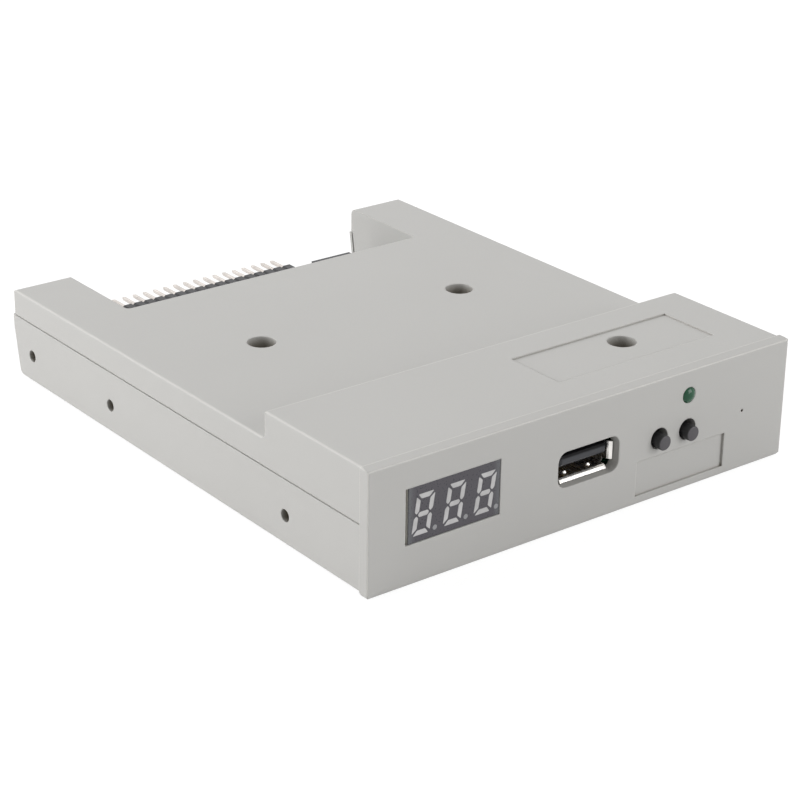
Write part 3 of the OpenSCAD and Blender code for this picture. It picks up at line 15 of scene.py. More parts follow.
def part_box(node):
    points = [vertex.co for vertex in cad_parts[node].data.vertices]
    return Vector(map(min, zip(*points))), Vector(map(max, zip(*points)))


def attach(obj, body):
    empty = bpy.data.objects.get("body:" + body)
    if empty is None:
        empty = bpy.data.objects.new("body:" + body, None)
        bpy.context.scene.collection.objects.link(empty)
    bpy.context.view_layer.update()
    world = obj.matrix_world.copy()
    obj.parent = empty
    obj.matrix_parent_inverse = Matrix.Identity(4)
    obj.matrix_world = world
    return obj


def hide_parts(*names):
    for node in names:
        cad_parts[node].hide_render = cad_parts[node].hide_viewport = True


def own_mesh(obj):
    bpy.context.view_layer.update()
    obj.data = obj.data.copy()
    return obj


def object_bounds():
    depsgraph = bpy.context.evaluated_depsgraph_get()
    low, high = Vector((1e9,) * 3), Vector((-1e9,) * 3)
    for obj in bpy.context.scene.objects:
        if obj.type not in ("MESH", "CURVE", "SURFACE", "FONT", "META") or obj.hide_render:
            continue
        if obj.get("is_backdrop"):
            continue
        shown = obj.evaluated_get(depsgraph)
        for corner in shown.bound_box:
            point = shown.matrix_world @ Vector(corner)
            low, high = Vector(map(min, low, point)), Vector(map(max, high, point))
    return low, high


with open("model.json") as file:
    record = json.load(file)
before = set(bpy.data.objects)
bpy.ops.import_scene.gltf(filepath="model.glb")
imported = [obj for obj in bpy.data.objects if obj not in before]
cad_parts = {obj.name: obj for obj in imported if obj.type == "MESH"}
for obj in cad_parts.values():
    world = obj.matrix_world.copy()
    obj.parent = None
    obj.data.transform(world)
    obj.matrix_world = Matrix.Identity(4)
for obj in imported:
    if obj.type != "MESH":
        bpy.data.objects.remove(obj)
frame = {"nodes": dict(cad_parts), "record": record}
cad_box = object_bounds()
nodes = frame["nodes"]
MM = 0.001

# %% [markdown]
# ## Camera
# The photograph was taken from the front left, a little above the drive. The camera's place,
# heading, tilt and lens were fitted to the long straight edges of the housing, so it is given
# here as plain numbers and not aimed by eye.

# %% Camera
IMAGE_SIDE = 800
FOCAL_PX = 2300
SENSOR_MM = 36
CAMERA_AT = Vector((-259.8, -338.05, 191.1)) * MM
HEADING = math.radians(37.92)
TILT_DOWN = math.radians(23.76)
ROLL = math.radians(0.77)
NEAREST_SEEN = 0.01
RIGHT_ANGLE = math.radians(90)

scene = bpy.context.scene
camera_data = bpy.data.cameras.new("camera")
camera_data.sensor_width = SENSOR_MM
camera_data.lens = SENSOR_MM * FOCAL_PX / IMAGE_SIDE
camera_data.clip_start = NEAREST_SEEN
camera = bpy.data.objects.new("camera", camera_data)
turn = Matrix.Rotation(-HEADING, 4, "Z")
tilt = Matrix.Rotation(RIGHT_ANGLE - TILT_DOWN, 4, "X")
spin = Matrix.Rotation(ROLL, 4, "Z")
camera.matrix_world = Matrix.Translation(CAMERA_AT) @ turn @ tilt @ spin
scene.collection.objects.link(camera)
scene.camera = camera
print("lens:", round(camera_data.lens, 2), "mm")

# %% [markdown]
# ## Light and floor
# A product shot has a white sweep and large soft lights. The floor and the sky look pure white
# to the camera and in the metal, while the object itself is lit at a plain level, so that a
# colour comes out about as it is written. The sky does most of the work. A lamp at the rear
# left makes the left side the brightest, one at the front right fills the bezel's shade, and one
# above lifts the tops. The floor also shows the camera a little of its own diffuse light, so
# that the drive keeps a faint shadow on the white.

# %% Node helpers
def new_nodes(tree, names):
    """Adds one node of each type and returns them in order."""
    return [tree.nodes.new(name) for name in names]


def math_node(tree, operation, first, second):
    """A Math node whose two inputs are sockets or plain numbers."""
    node = tree.nodes.new("ShaderNodeMath")
    node.operation = operation
    for socket, value in zip(node.inputs, (first, second)):
        if isinstance(value, (int, float)):
            socket.default_value = value
        else:
            tree.links.new(value, socket)
    return node.outputs[0]


def seen_directly(tree):
    """A mask that is 1 for the camera, for mirrors and through glass."""
    path = tree.nodes.new("ShaderNodeLightPath")
    mirrors = math_node(tree, "MAXIMUM", path.outputs["Is Glossy Ray"],
                        path.outputs["Is Transmission Ray"])
    return math_node(tree, "MAXIMUM", path.outputs["Is Camera Ray"], mirrors)


# %% World
WHITE_TO_EYE = 1.0
SKY_LIGHT = 0.3
FLOOR_GLOW = 0.9
FLOOR_SHADE = 0.22

scene.view_settings.view_transform = "Standard"
world = bpy.data.worlds.new("studio")
scene.world = world
world.use_nodes = True
world.node_tree.nodes.clear()
seen, lit, mixer, out = new_nodes(
    world.node_tree, ["ShaderNodeBackground", "ShaderNodeBackground", "ShaderNodeMixShader",
                      "ShaderNodeOutputWorld"])
seen.inputs["Color"].default_value = (1, 1, 1, 1)
seen.inputs["Strength"].default_value = WHITE_TO_EYE
lit.inputs["Color"].default_value = (1, 1, 1, 1)
lit.inputs["Strength"].default_value = SKY_LIGHT
world.node_tree.links.new(seen_directly(world.node_tree), mixer.inputs["Fac"])
world.node_tree.links.new(lit.outputs[0], mixer.inputs[1])
world.node_tree.links.new(seen.outputs[0], mixer.inputs[2])
world.node_tree.links.new(mixer.outputs[0], out.inputs["Surface"])
print("sky:", SKY_LIGHT, "on the object,", WHITE_TO_EYE, "to the eye")

# %% Floor
FLOOR_HALF = 3
FLOOR_PAINT = 0.8

floor_mesh = bpy.data.meshes.new("floor")
floor = bpy.data.objects.new("floor", floor_mesh)
scene.collection.objects.link(floor)
shape = bmesh.new()
bmesh.ops.create_grid(shape, x_segments=1, y_segments=1, size=FLOOR_HALF)
shape.to_mesh(floor_mesh)
shape.free()
floor.location.z = cad_box[0][2]
floor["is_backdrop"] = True

white = bpy.data.materials.new("white_sweep")
white.use_nodes = True
tree = white.node_tree
tree.nodes.clear()
glow, shade, both, paint, mixer, out = new_nodes(
    tree, ["ShaderNodeEmission", "ShaderNodeBsdfDiffuse", "ShaderNodeAddShader",
           "ShaderNodeBsdfDiffuse", "ShaderNodeMixShader", "ShaderNodeOutputMaterial"])
glow.inputs["Strength"].default_value = FLOOR_GLOW
shade.inputs["Color"].default_value = (FLOOR_SHADE, FLOOR_SHADE, FLOOR_SHADE, 1)
paint.inputs["Color"].default_value = (FLOOR_PAINT, FLOOR_PAINT, FLOOR_PAINT, 1)
tree.links.new(glow.outputs[0], both.inputs[0])
tree.links.new(shade.outputs[0], both.inputs[1])
tree.links.new(seen_directly(tree), mixer.inputs["Fac"])
tree.links.new(paint.outputs[0], mixer.inputs[1])
tree.links.new(both.outputs[0], mixer.inputs[2])
tree.links.new(mixer.outputs[0], out.inputs["Surface"])
floor_mesh.materials.append(white)
print("floor at z =", floor.location.z)


# %% Lamps
def soft_lamp(name, at, size, watts):
    """A square area lamp that faces the middle of the drive."""
    data = bpy.data.lights.new(name, "AREA")
    data.size = size
    data.energy = watts
    lamp = bpy.data.objects.new(name, data)
    lamp.location = at
    lamp.rotation_euler = (-Vector(at)).to_track_quat("-Z", "Y").to_euler()
    scene.collection.objects.link(lamp)


soft_lamp("rear_left_lamp", (-0.8, 0.45, 0.35), 0.6, 6.4)
soft_lamp("front_right_lamp", (0.5, -0.8, 0.3), 0.6, 4)
soft_lamp("top_lamp", (0.2, 0.5, 0.9), 0.7, 3.2)

# %% [markdown]
# ## Shared effects
# Four effects come back on many pieces, so each is a node group that is built once. The first
# is the fine grain that spark erosion leaves in a plastic mould, together with a slow drift of
# tone over a large wall. The second finds edges: the Bevel node rounds the normal near an
# edge, and where that differs from the flat normal lies a thin line, which the plastics paint
# paler as a highlight, broken up by noise. The third finds narrow places, such as screw holes,
# the seam and the walls of the label pockets, where less light comes, so that shade can be
# painted there. It looks only at the piece itself, so that the floor doesn't count as a near
# wall.
# The fourth is the fine scratches of rolled or drawn metal.

# %% Group helper
def new_group(name, numbers, results):
    """Starts a node group with plain numbers in and the named kinds of socket out."""
    group = bpy.data.node_groups.new(name, "ShaderNodeTree")
    for label, start in numbers.items():
        socket = group.interface.new_socket(label, in_out="INPUT",
                                            socket_type="NodeSocketFloat")
        socket.default_value = start
    for label, kind in results.items():
        group.interface.new_socket(label, in_out="OUTPUT", socket_type=kind)
    start, end = new_nodes(group, ["NodeGroupInput", "NodeGroupOutput"])
    return group, start, end


def noise(tree, scale, detail=2.0, roughness=0.5):
    """Noise over Object coordinates, which are in metres; scale is a number or a socket."""
    place, node = new_nodes(tree, ["ShaderNodeTexCoord", "ShaderNodeTexNoise"])
    tree.links.new(place.outputs["Object"], node.inputs["Vector"])
    node.inputs["Detail"].default_value = detail
    node.inputs["Roughness"].default_value = roughness
    if isinstance(scale, (int, float)):
        node.inputs["Scale"].default_value = scale
    else:
        tree.links.new(scale, node.inputs["Scale"])
    return node.outputs["Fac"]


def spread(tree, value, low, high, new_low, new_high):
    """A Map Range node that turns low..high into new_low..new_high."""
    node = tree.nodes.new("ShaderNodeMapRange")
    tree.links.new(value, node.inputs["Value"])
    ends = ("From Min", "From Max", "To Min", "To Max")
    for label, end in zip(ends, (low, high, new_low, new_high)):
        if isinstance(end, (int, float)):
            node.inputs[label].default_value = end
        else:
            tree.links.new(end, node.inputs[label])
    return node.outputs["Result"]


# %% Moulded grain and tone
NOISE_LOW = 0.3
NOISE_HIGH = 0.7

grain_group, start, end = new_group(
    "moulded_grain", {"Grain Scale": 4000, "Drift Scale": 25, "Drift": 0.03},
    {"Height": "NodeSocketFloat", "Tone": "NodeSocketFloat"})
fine = noise(grain_group, start.outputs["Grain Scale"], detail=3)
slow = noise(grain_group, start.outputs["Drift Scale"], detail=3)
darkest = math_node(grain_group, "SUBTRACT", 1, start.outputs["Drift"])
palest = math_node(grain_group, "ADD", 1, start.outputs["Drift"])
grain_group.links.new(fine, end.inputs["Height"])
grain_group.links.new(spread(grain_group, slow, NOISE_LOW, NOISE_HIGH, darkest, palest),
                      end.inputs["Tone"])

# %% Edges
EDGE_BREAK_SCALE = 900
EDGE_BREAK_LOW = 0.3
EDGE_BREAK_HIGH = 0.6
LEAST_EDGE_LINE = 0.5

# The mask is a thin line along each edge, varied by noise; the plastics paint it paler as a
# highlight.
edge_group, start, end = new_group(
    "edge_line_mask", {"Radius": 0.0003, "Strength": 3},
    {"Mask": "NodeSocketFloat", "Normal": "NodeSocketVector"})
rounded, surface, match = new_nodes(
    edge_group, ["ShaderNodeBevel", "ShaderNodeNewGeometry", "ShaderNodeVectorMath"])
match.operation = "DOT_PRODUCT"
edge_group.links.new(start.outputs["Radius"], rounded.inputs["Radius"])
edge_group.links.new(rounded.outputs["Normal"], match.inputs[0])
edge_group.links.new(surface.outputs["Normal"], match.inputs[1])
bend = math_node(edge_group, "SUBTRACT", 1, match.outputs["Value"])
broken = spread(edge_group, noise(edge_group, EDGE_BREAK_SCALE), EDGE_BREAK_LOW, EDGE_BREAK_HIGH, LEAST_EDGE_LINE, 1)
mask = math_node(edge_group, "MULTIPLY", bend, start.outputs["Strength"])
mask = math_node(edge_group, "MULTIPLY", mask, broken)
edge_group.links.new(math_node(edge_group, "MINIMUM", mask, 1), end.inputs["Mask"])
edge_group.links.new(rounded.outputs["Normal"], end.inputs["Normal"])

# %% Crevices
CREVICE_RAYS = 8

crevice_group, start, end = new_group(
    "shaded_crevices", {"Distance": 0.001, "Least": 0.3, "Most": 0.8},
    {"Mask": "NodeSocketFloat"})
nearby = crevice_group.nodes.new("ShaderNodeAmbientOcclusion")
nearby.samples = CREVICE_RAYS
nearby.only_local = True
crevice_group.links.new(start.outputs["Distance"], nearby.inputs["Distance"])
hidden = math_node(crevice_group, "SUBTRACT", 1, nearby.outputs["AO"])
shaded = spread(crevice_group, hidden, start.outputs["Least"], start.outputs["Most"], 0, 1)
crevice_group.links.new(shaded, end.inputs["Mask"])

# %% Metal scratches
TARNISH_SCALE = 350
DULLEST = 0.85
BRIGHTEST = 1.05

scratch_group, start, end = new_group(
    "drawn_metal", {"Scale": 3000, "Stretch": 0.03},
    {"Height": "NodeSocketFloat", "Tone": "NodeSocketFloat"})
place, stretch, lines = new_nodes(
    scratch_group, ["ShaderNodeTexCoord", "ShaderNodeMapping", "ShaderNodeTexNoise"])
sizes = scratch_group.nodes.new("ShaderNodeCombineXYZ")
sizes.inputs["X"].default_value = 1
sizes.inputs["Z"].default_value = 1
scratch_group.links.new(start.outputs["Stretch"], sizes.inputs["Y"])
scratch_group.links.new(place.outputs["Object"], stretch.inputs["Vector"])
scratch_group.links.new(sizes.outputs[0], stretch.inputs["Scale"])
scratch_group.links.new(stretch.outputs[0], lines.inputs["Vector"])
scratch_group.links.new(start.outputs["Scale"], lines.inputs["Scale"])
lines.inputs["Detail"].default_value = 3
tarnish = noise(scratch_group, TARNISH_SCALE, detail=3)
scratch_group.links.new(lines.outputs["Fac"], end.inputs["Height"])
scratch_group.links.new(spread(scratch_group, tarnish, NOISE_LOW, NOISE_HIGH, DULLEST,
                               BRIGHTEST), end.inputs["Tone"])
print("groups:", [group.name for group in bpy.data.node_groups])


# %% Material helpers
def new_material(name):
    """An empty material with a Principled shader, and the tree to add nodes to."""
    material = bpy.data.materials.new(name)
    material.use_nodes = True
    return material, material.node_tree, material.node_tree.nodes["Principled BSDF"]


def effect(tree, group, **numbers):
    """Places a shared group in a material with its own numbers."""
    node = tree.nodes.new("ShaderNodeGroup")
    node.node_tree = group
    for label, value in numbers.items():
        node.inputs[label.replace("_", " ").title()].default_value = value
    return node


def scaled(tree, colour, factor):
    """A colour, or a colour socket, times a value that changes over the surface."""
    node = tree.nodes.new("ShaderNodeVectorMath")
    node.operation = "SCALE"
    if hasattr(colour, "node"):
        tree.links.new(colour, node.inputs["Vector"])
    else:
        node.inputs["Vector"].default_value = colour
    tree.links.new(factor, node.inputs["Scale"])
    return node.outputs["Vector"]


def mixed(tree, mask, first, second):
    """A colour that goes from the first to the second where the mask is 1."""
    node = tree.nodes.new("ShaderNodeMix")
    node.data_type = "RGBA"
    tree.links.new(mask, node.inputs["Factor"])
    for socket, colour in ((node.inputs[6], first), (node.inputs[7], second)):
        if hasattr(colour, "node"):
            tree.links.new(colour, socket)
        else:
            socket.default_value = (*colour, 1)
    return node.outputs[2]


def relief(tree, shader, height, depth, normal=None):
    """Raises a bump of the given depth in metres on the shader."""
    bump = tree.nodes.new("ShaderNodeBump")
    bump.inputs["Distance"].default_value = depth
    tree.links.new(height, bump.inputs["Height"])
    if normal is not None:
        tree.links.new(normal, bump.inputs["Normal"])
    tree.links.new(bump.outputs["Normal"], shader.inputs["Normal"])


def gloss(tree, shader, height, low, high):
    """Lets the roughness follow the grain between two values."""
    tree.links.new(spread(tree, height, NOISE_LOW, NOISE_HIGH, low, high),
                   shader.inputs["Roughness"])


# %% [markdown]
# ## Moulded plastics
# Most pieces are injection moulded. They share one recipe: a base colour that drifts a little
# over the wall, a grain in the relief and in the gloss, and a painted highlight that makes the
# edges paler. Only the numbers differ between the satin housing, the black nylon of the headers,
# the epoxy chips and the white nylon plugs.

# %% Plastic recipe
PLASTIC_SHINE = 0.06


def plastic(name, colour, highlight_colour, roughness, grain=4000, depth=6e-6, drift=0.02,
            edge=0.0002):
    """A moulded plastic with grain, drift of tone and edges painted paler as a highlight."""
    material, tree, shader = new_material(name)
    skin = effect(tree, grain_group, grain_scale=grain, drift=drift)
    rim = effect(tree, edge_group, radius=edge)
    body = scaled(tree, colour, skin.outputs["Tone"])
    # Painted highlight: the edge mask mixes the paler edge colour into the body.
    tree.links.new(mixed(tree, rim.outputs["Mask"], body, highlight_colour),
                   shader.inputs["Base Color"])
    gloss(tree, shader, skin.outputs["Height"], roughness - PLASTIC_SHINE,
          roughness + PLASTIC_SHINE)
    relief(tree, shader, skin.outputs["Height"], depth, rim.outputs["Normal"])
    return material


# The paler colour that the housing's painted edge highlights mix in.
PALE_EDGE = (0.76, 0.745, 0.71)
finishes = {
    "housing": plastic("satin_grey_plastic", (0.552, 0.545, 0.526), PALE_EDGE, 0.5,
                       grain=3200, depth=8e-6, drift=0.012, edge=0.0004),
    "black_plastic": plastic("black_nylon", (0.022, 0.022, 0.025), (0.06, 0.06, 0.065), 0.45),
    "white_plastic": plastic("white_nylon", (0.72, 0.7, 0.64), (0.8, 0.78, 0.74), 0.4),
    "chip": plastic("epoxy_package", (0.018, 0.018, 0.019), (0.05, 0.05, 0.05), 0.55,
                    grain=6000, depth=8e-6),
}
print("plastics:", sorted(finishes))

# %% [markdown]
# The housing needs two more layers of painted light and shade. Its bezel has small round edges
# that catch the light, so a painted highlight runs along them as a pale line, also where the
# bezel's top ends at the raised block. Its narrow and deep places get painted shade, dark and a
# little brown, least so in the seam, which is open to the light all along. Both layers sit
# between the plastic recipe and the shader: one mask comes from the normal and the place of a
# point, the other from the crevice group.

# %% Place helper
def along(tree, axis, centre):
    """The distance from a plane across the X, Y or Z axis, in metres."""
    place, parts = new_nodes(tree, ["ShaderNodeTexCoord", "ShaderNodeSeparateXYZ"])
    tree.links.new(place.outputs["Object"], parts.inputs[0])
    return math_node(tree, "SUBTRACT", parts.outputs[axis], centre)


# %% Painted highlights on the housing's edges
BEZEL_THICK = 2.4 * MM
SIDE_BAND = 0.6 * MM
LINE_HALF = 0.4 * MM
DECK_CLEAR = 23 * MM
REARWARD = 2
LONG_SHARE = 0.6
LINE_SHARE = 0.22
FACES_UP = 0.9
EDGE_FROM = 0.15
EDGE_FULL = 0.5

tree = finishes["housing"].node_tree
shader = tree.nodes["Principled BSDF"]
colour = shader.inputs["Base Color"].links[0].from_socket
surface, parts = new_nodes(tree, ["ShaderNodeNewGeometry", "ShaderNodeSeparateXYZ"])
tree.links.new(surface.outputs["Normal"], parts.inputs[0])
along_y = math_node(tree, "MAXIMUM", math_node(tree, "MULTIPLY", parts.outputs["Y"], -1),
                    math_node(tree, "MULTIPLY", parts.outputs["Y"], REARWARD))
along_x = math_node(tree, "ABSOLUTE", parts.outputs["X"], 0)
upward = math_node(tree, "MAXIMUM", parts.outputs["Z"], 0)
low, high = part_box("upper_housing")
from_side = math_node(tree, "ABSOLUTE", along(tree, "X", 0), 0)
at_side = math_node(tree, "GREATER_THAN", from_side, high.x - SIDE_BAND)
raised = math_node(tree, "GREATER_THAN", along(tree, "Z", 0), DECK_CLEAR)
cross_edge = math_node(tree, "MULTIPLY", math_node(tree, "MULTIPLY", along_y, upward), raised)
corner = math_node(tree, "MULTIPLY", math_node(tree, "MULTIPLY", along_y, along_x), at_side)
long_edge = math_node(tree, "MULTIPLY", math_node(tree, "MULTIPLY", along_x, upward),
                      LONG_SHARE)
edges = math_node(tree, "MAXIMUM", math_node(tree, "MAXIMUM", cross_edge, corner), long_edge)
edge_line = spread(tree, edges, EDGE_FROM, EDGE_FULL, 0, 1)
from_line = math_node(tree, "ABSOLUTE", along(tree, "Y", low.y + BEZEL_THICK), 0)
back_line = math_node(tree, "MULTIPLY", spread(tree, from_line, LINE_HALF / 2, LINE_HALF, 1, 0),
                      math_node(tree, "GREATER_THAN", parts.outputs["Z"], FACES_UP))
# Painted highlight: the edge lines and the line at the bezel's back are mixed towards the pale
# colour.
painted_edge_light = math_node(tree, "MAXIMUM", edge_line,
                   math_node(tree, "MULTIPLY", back_line, LINE_SHARE))
colour = mixed(tree, painted_edge_light, colour, PALE_EDGE)
print("bezel corners from x =", round((high.x - SIDE_BAND) / MM, 1), "mm")

# %% Painted shade in the housing's crevices
WELL_REACH = 9 * MM
WELL_LEAST = 0.53
WELL_MOST = 0.8
SEAM_HEIGHT = 14 * MM
SEAM_BAND = 0.4 * MM
SEAM_SHARE = 0.25
CREVICE_SHADE = (0.19, 0.165, 0.125)

# Painted shade: narrow places and deep wells are mixed towards a dark brown, less so along the
# seam.
narrow = effect(tree, crevice_group)
deep = effect(tree, crevice_group, distance=WELL_REACH, least=WELL_LEAST, most=WELL_MOST)
painted_shade = math_node(tree, "MAXIMUM", narrow.outputs["Mask"], deep.outputs["Mask"])
from_seam = math_node(tree, "ABSOLUTE", along(tree, "Z", SEAM_HEIGHT), 0)
painted_shade = math_node(tree, "MULTIPLY", painted_shade,
                  spread(tree, from_seam, SEAM_BAND, 1.5 * SEAM_BAND, SEAM_SHARE, 1))
tree.links.new(mixed(tree, painted_shade, colour, CREVICE_SHADE), shader.inputs["Base Color"])
print("housing material:", len(tree.nodes), "nodes")

# %% [markdown]
# The buttons are black. Their front faces, which look out of the bezel into the light, are
# painted a dark grey as light, and their sides stay near black as painted shade. The mask is
# the surface's own normal: it is 1 where the face looks out of the bezel.

# %% Buttons
FRONT_FULL = -0.95
FRONT_NONE = -0.5

button, tree, shader = new_material("dark_button_plastic")
skin = effect(tree, grain_group, grain_scale=3500, drift=0.05)
rim = effect(tree, edge_group, radius=0.00015)
surface, parts = new_nodes(tree, ["ShaderNodeNewGeometry", "ShaderNodeSeparateXYZ"])
tree.links.new(surface.outputs["Normal"], parts.inputs[0])
# Painted light: faces that look out of the bezel are painted grey, the shaded sides near black.
lit_front = spread(tree, parts.outputs["Y"], FRONT_FULL, FRONT_NONE, 1, 0)
black = mixed(tree, lit_front, (0.01, 0.01, 0.011), (0.066, 0.061, 0.068))
tree.links.new(scaled(tree, black, skin.outputs["Tone"]), shader.inputs["Base Color"])
gloss(tree, shader, skin.outputs["Height"], 0.42, 0.56)
relief(tree, shader, skin.outputs["Height"], 4e-6, rim.outputs["Normal"])
finishes["button_plastic"] = button
print("buttons:", button.name)

# %% [markdown]
# ## Metals
# The port's shell, the switch covers and the screws are rolled or plated steel, the pins are
# tinned, and the contacts have a thin layer of gold. A metal has no colour of its own besides
# its reflection, so the recipe only tints it, and the fine drawn lines blur the mirror.

# %% Metal recipe
METAL_SHINE = 0.08


def metal(name, colour, roughness, lines=3000, stretch=0.03, depth=2e-6, edge=0.0001):
    """A plated or bare metal with drawn lines, faint tarnish and rounded edges."""
    material, tree, shader = new_material(name)
    skin = effect(tree, scratch_group, scale=lines, stretch=stretch)
    rim = effect(tree, edge_group, radius=edge)
    shader.inputs["Metallic"].default_value = 1
    tree.links.new(scaled(tree, colour, skin.outputs["Tone"]), shader.inputs["Base Color"])
    gloss(tree, shader, skin.outputs["Height"], roughness - METAL_SHINE, roughness + METAL_SHINE)
    relief(tree, shader, skin.outputs["Height"], depth, rim.outputs["Normal"])
    return material


finishes["steel"] = metal("plated_steel", (0.82, 0.8, 0.77), 0.24)
finishes["tin"] = metal("tinned_pin", (0.68, 0.635, 0.6), 0.34, lines=5000)
finishes["gold"] = metal("gold_contact", (0.9, 0.66, 0.3), 0.2, lines=5000)
finishes["can"] = metal("bare_aluminium", (0.86, 0.86, 0.87), 0.3, lines=4000, stretch=0.1)
print("finishes so far:", sorted(finishes))

# %% [markdown]
# ## Display face and segments
# The face of the display is a dark printed film over a light-coloured case. Light that enters
# the film at its two ends comes back from the case, so both ends are painted a little paler as
# that light, and the film's edges get a painted highlight. The segments are epoxy with a
# diffusing powder in it, and the decimal points, which have less epoxy over them, are dimmer.

# %% Display face
BAND = 1.5 * MM
END_SHARE = 0.75

face_low, face_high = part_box("display_face")
face_mid = (face_low + face_high) / 2
face_half = (face_high.x - face_low.x) / 2

face, tree, shader = new_material("dark_display_film")
skin = effect(tree, grain_group, grain_scale=2500, drift_scale=120, drift=0.05)
rim = effect(tree, edge_group, radius=0.15 * MM)
reach = math_node(tree, "ABSOLUTE", along(tree, "X", face_mid.x), 0)
# Painted light: both ends of the film are painted paler.
painted_light_ends = spread(tree, reach, face_half - BAND, face_half - BAND / 5, 0, END_SHARE)
film = scaled(tree, (0.066, 0.061, 0.073), skin.outputs["Tone"])
film = mixed(tree, painted_light_ends, film, (0.135, 0.14, 0.15))
# Painted highlight along the film's edges.
tree.links.new(mixed(tree, rim.outputs["Mask"], film, (0.1, 0.1, 0.11)),
               shader.inputs["Base Color"])
gloss(tree, shader, skin.outputs["Height"], 0.26, 0.32)
relief(tree, shader, skin.outputs["Height"], 5e-7, rim.outputs["Normal"])
finishes["display_face"] = face
print("display face:", [round(v / MM, 2) for v in (*face_low, *face_high)])

# %% Segments
DIGITS = 3
DIGIT_PITCH = 6.9 * MM
DOT_RADIUS = 0.475 * MM
DOT_RISE = 0.47 * MM
DIM_FULL = 0.55 * MM
DIM_NONE = 0.7 * MM

powder, tree, shader = new_material("diffusing_epoxy")
skin = effect(tree, grain_group, grain_scale=3500, drift_scale=400, drift=0.1)
rim = effect(tree, edge_group, radius=0.12 * MM)
milk = scaled(tree, (0.6, 0.59, 0.59), skin.outputs["Tone"])
milk = mixed(tree, rim.outputs["Mask"], milk, (0.42, 0.42, 0.42))
digits_low, digits_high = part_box("display_segments")
points = []
for digit in range(DIGITS):
    middle = (digits_high.x - DOT_RADIUS - digit * DIGIT_PITCH, digits_low.y,
              digits_low.z + DOT_RISE)
    place, apart = new_nodes(tree, ["ShaderNodeTexCoord", "ShaderNodeVectorMath"])
    apart.operation = "DISTANCE"
    apart.inputs[1].default_value = middle
    tree.links.new(place.outputs["Object"], apart.inputs[0])
    points.append(apart.outputs["Value"])
nearest = points[0]
for point in points[1:]:
    nearest = math_node(tree, "MINIMUM", nearest, point)
thin = spread(tree, nearest, DIM_FULL, DIM_NONE, 1, 0)
tree.links.new(mixed(tree, thin, milk, (0.33, 0.33, 0.34)), shader.inputs["Base Color"])
gloss(tree, shader, skin.outputs["Height"], 0.35, 0.5)
relief(tree, shader, skin.outputs["Height"], 8e-6, rim.outputs["Normal"])
finishes["segments"] = powder
print("decimal points:", len(points))

# %% [markdown]
# ## Lamp, board, glaze and wire
# The lamp is green-tinted clear epoxy. The board is glass cloth under a green lacquer, through
# which the copper tracks show as paler raised lines. The ceramic chips have a fired glaze, and
# the cable's wires have a smooth rubbery skin.

# %% Lamp
LENS_CLEAR = 0.2
LENS_SHINE = 0.3

lens, tree, shader = new_material("green_epoxy_lens")
skin = effect(tree, grain_group, grain_scale=1200, drift_scale=500, drift=0.15)
rim = effect(tree, edge_group, radius=0.1 * MM)
tree.links.new(scaled(tree, (0.01, 0.11, 0.048), skin.outputs["Tone"]),
               shader.inputs["Base Color"])
gloss(tree, shader, skin.outputs["Height"], 0.12, 0.2)
shader.inputs["Transmission Weight"].default_value = LENS_CLEAR
shader.inputs["Specular IOR Level"].default_value = LENS_SHINE
relief(tree, shader, skin.outputs["Height"], 2e-6, rim.outputs["Normal"])
finishes["lamp"] = lens
print("lamp:", lens.name)

# %% Board
TRACK_SCALE = 250
TRACK_WIDTH = 0.05
TRACK_LENGTH = 2.2
TRACK_PITCH = 0.25

lacquer, tree, shader = new_material("green_board_lacquer")
skin = effect(tree, grain_group, grain_scale=2500, drift_scale=90, drift=0.08)
place, tracks = new_nodes(tree, ["ShaderNodeTexCoord", "ShaderNodeTexBrick"])
tree.links.new(place.outputs["Object"], tracks.inputs["Vector"])
tracks.inputs["Color1"].default_value = (0, 0, 0, 1)
tracks.inputs["Color2"].default_value = (0, 0, 0, 1)
tracks.inputs["Mortar"].default_value = (1, 1, 1, 1)
tracks.inputs["Scale"].default_value = TRACK_SCALE
tracks.inputs["Mortar Size"].default_value = TRACK_WIDTH
tracks.inputs["Brick Width"].default_value = TRACK_LENGTH
tracks.inputs["Row Height"].default_value = TRACK_PITCH
base = scaled(tree, (0.012, 0.17, 0.075), skin.outputs["Tone"])
tree.links.new(mixed(tree, tracks.outputs["Fac"], base, (0.03, 0.27, 0.12)),
               shader.inputs["Base Color"])
gloss(tree, shader, skin.outputs["Height"], 0.2, 0.34)
relief(tree, shader, tracks.outputs["Fac"], 1.5e-5)
finishes["board"] = lacquer
print("board:", lacquer.name)

# %% Glaze and wire
finishes["ceramic"] = plastic("fired_glaze", (0.42, 0.3, 0.18), (0.55, 0.45, 0.34), 0.22,
                              grain=5000, depth=3e-6, drift=0.08, edge=0.0001)
finishes["wire"] = plastic("wire_skin", (0.42, 0.03, 0.025), (0.5, 0.06, 0.05), 0.38,
                           grain=2500, depth=4e-6)
print("all slots:", sorted(finishes))

# %% [markdown]
# The port's tongue is black nylon too. The shell shades its upper half, so that half is painted
# near black as shadow and only a band along its front is painted grey. Its shine is turned down,
# as it lies deep in the port.

# %% Port tongue
SHADE_HEIGHT = 14.1 * MM
SHADE_SOFT = 0.1 * MM
TONGUE_SHINE = 0.15

tongue, tree, shader = new_material("shaded_tongue_nylon")
skin = effect(tree, grain_group, grain_scale=3500)
# Painted shadow: above the shade line the nylon is painted near black.
shaded = spread(tree, along(tree, "Z", SHADE_HEIGHT), -SHADE_SOFT, SHADE_SOFT, 0, 1)
nylon = mixed(tree, shaded, (0.075, 0.077, 0.083), (0.009, 0.009, 0.01))
tree.links.new(scaled(tree, nylon, skin.outputs["Tone"]), shader.inputs["Base Color"])
gloss(tree, shader, skin.outputs["Height"], 0.4, 0.52)
shader.inputs["Specular IOR Level"].default_value = TONGUE_SHINE
relief(tree, shader, skin.outputs["Height"], 4e-6)
print("tongue:", tongue.name)

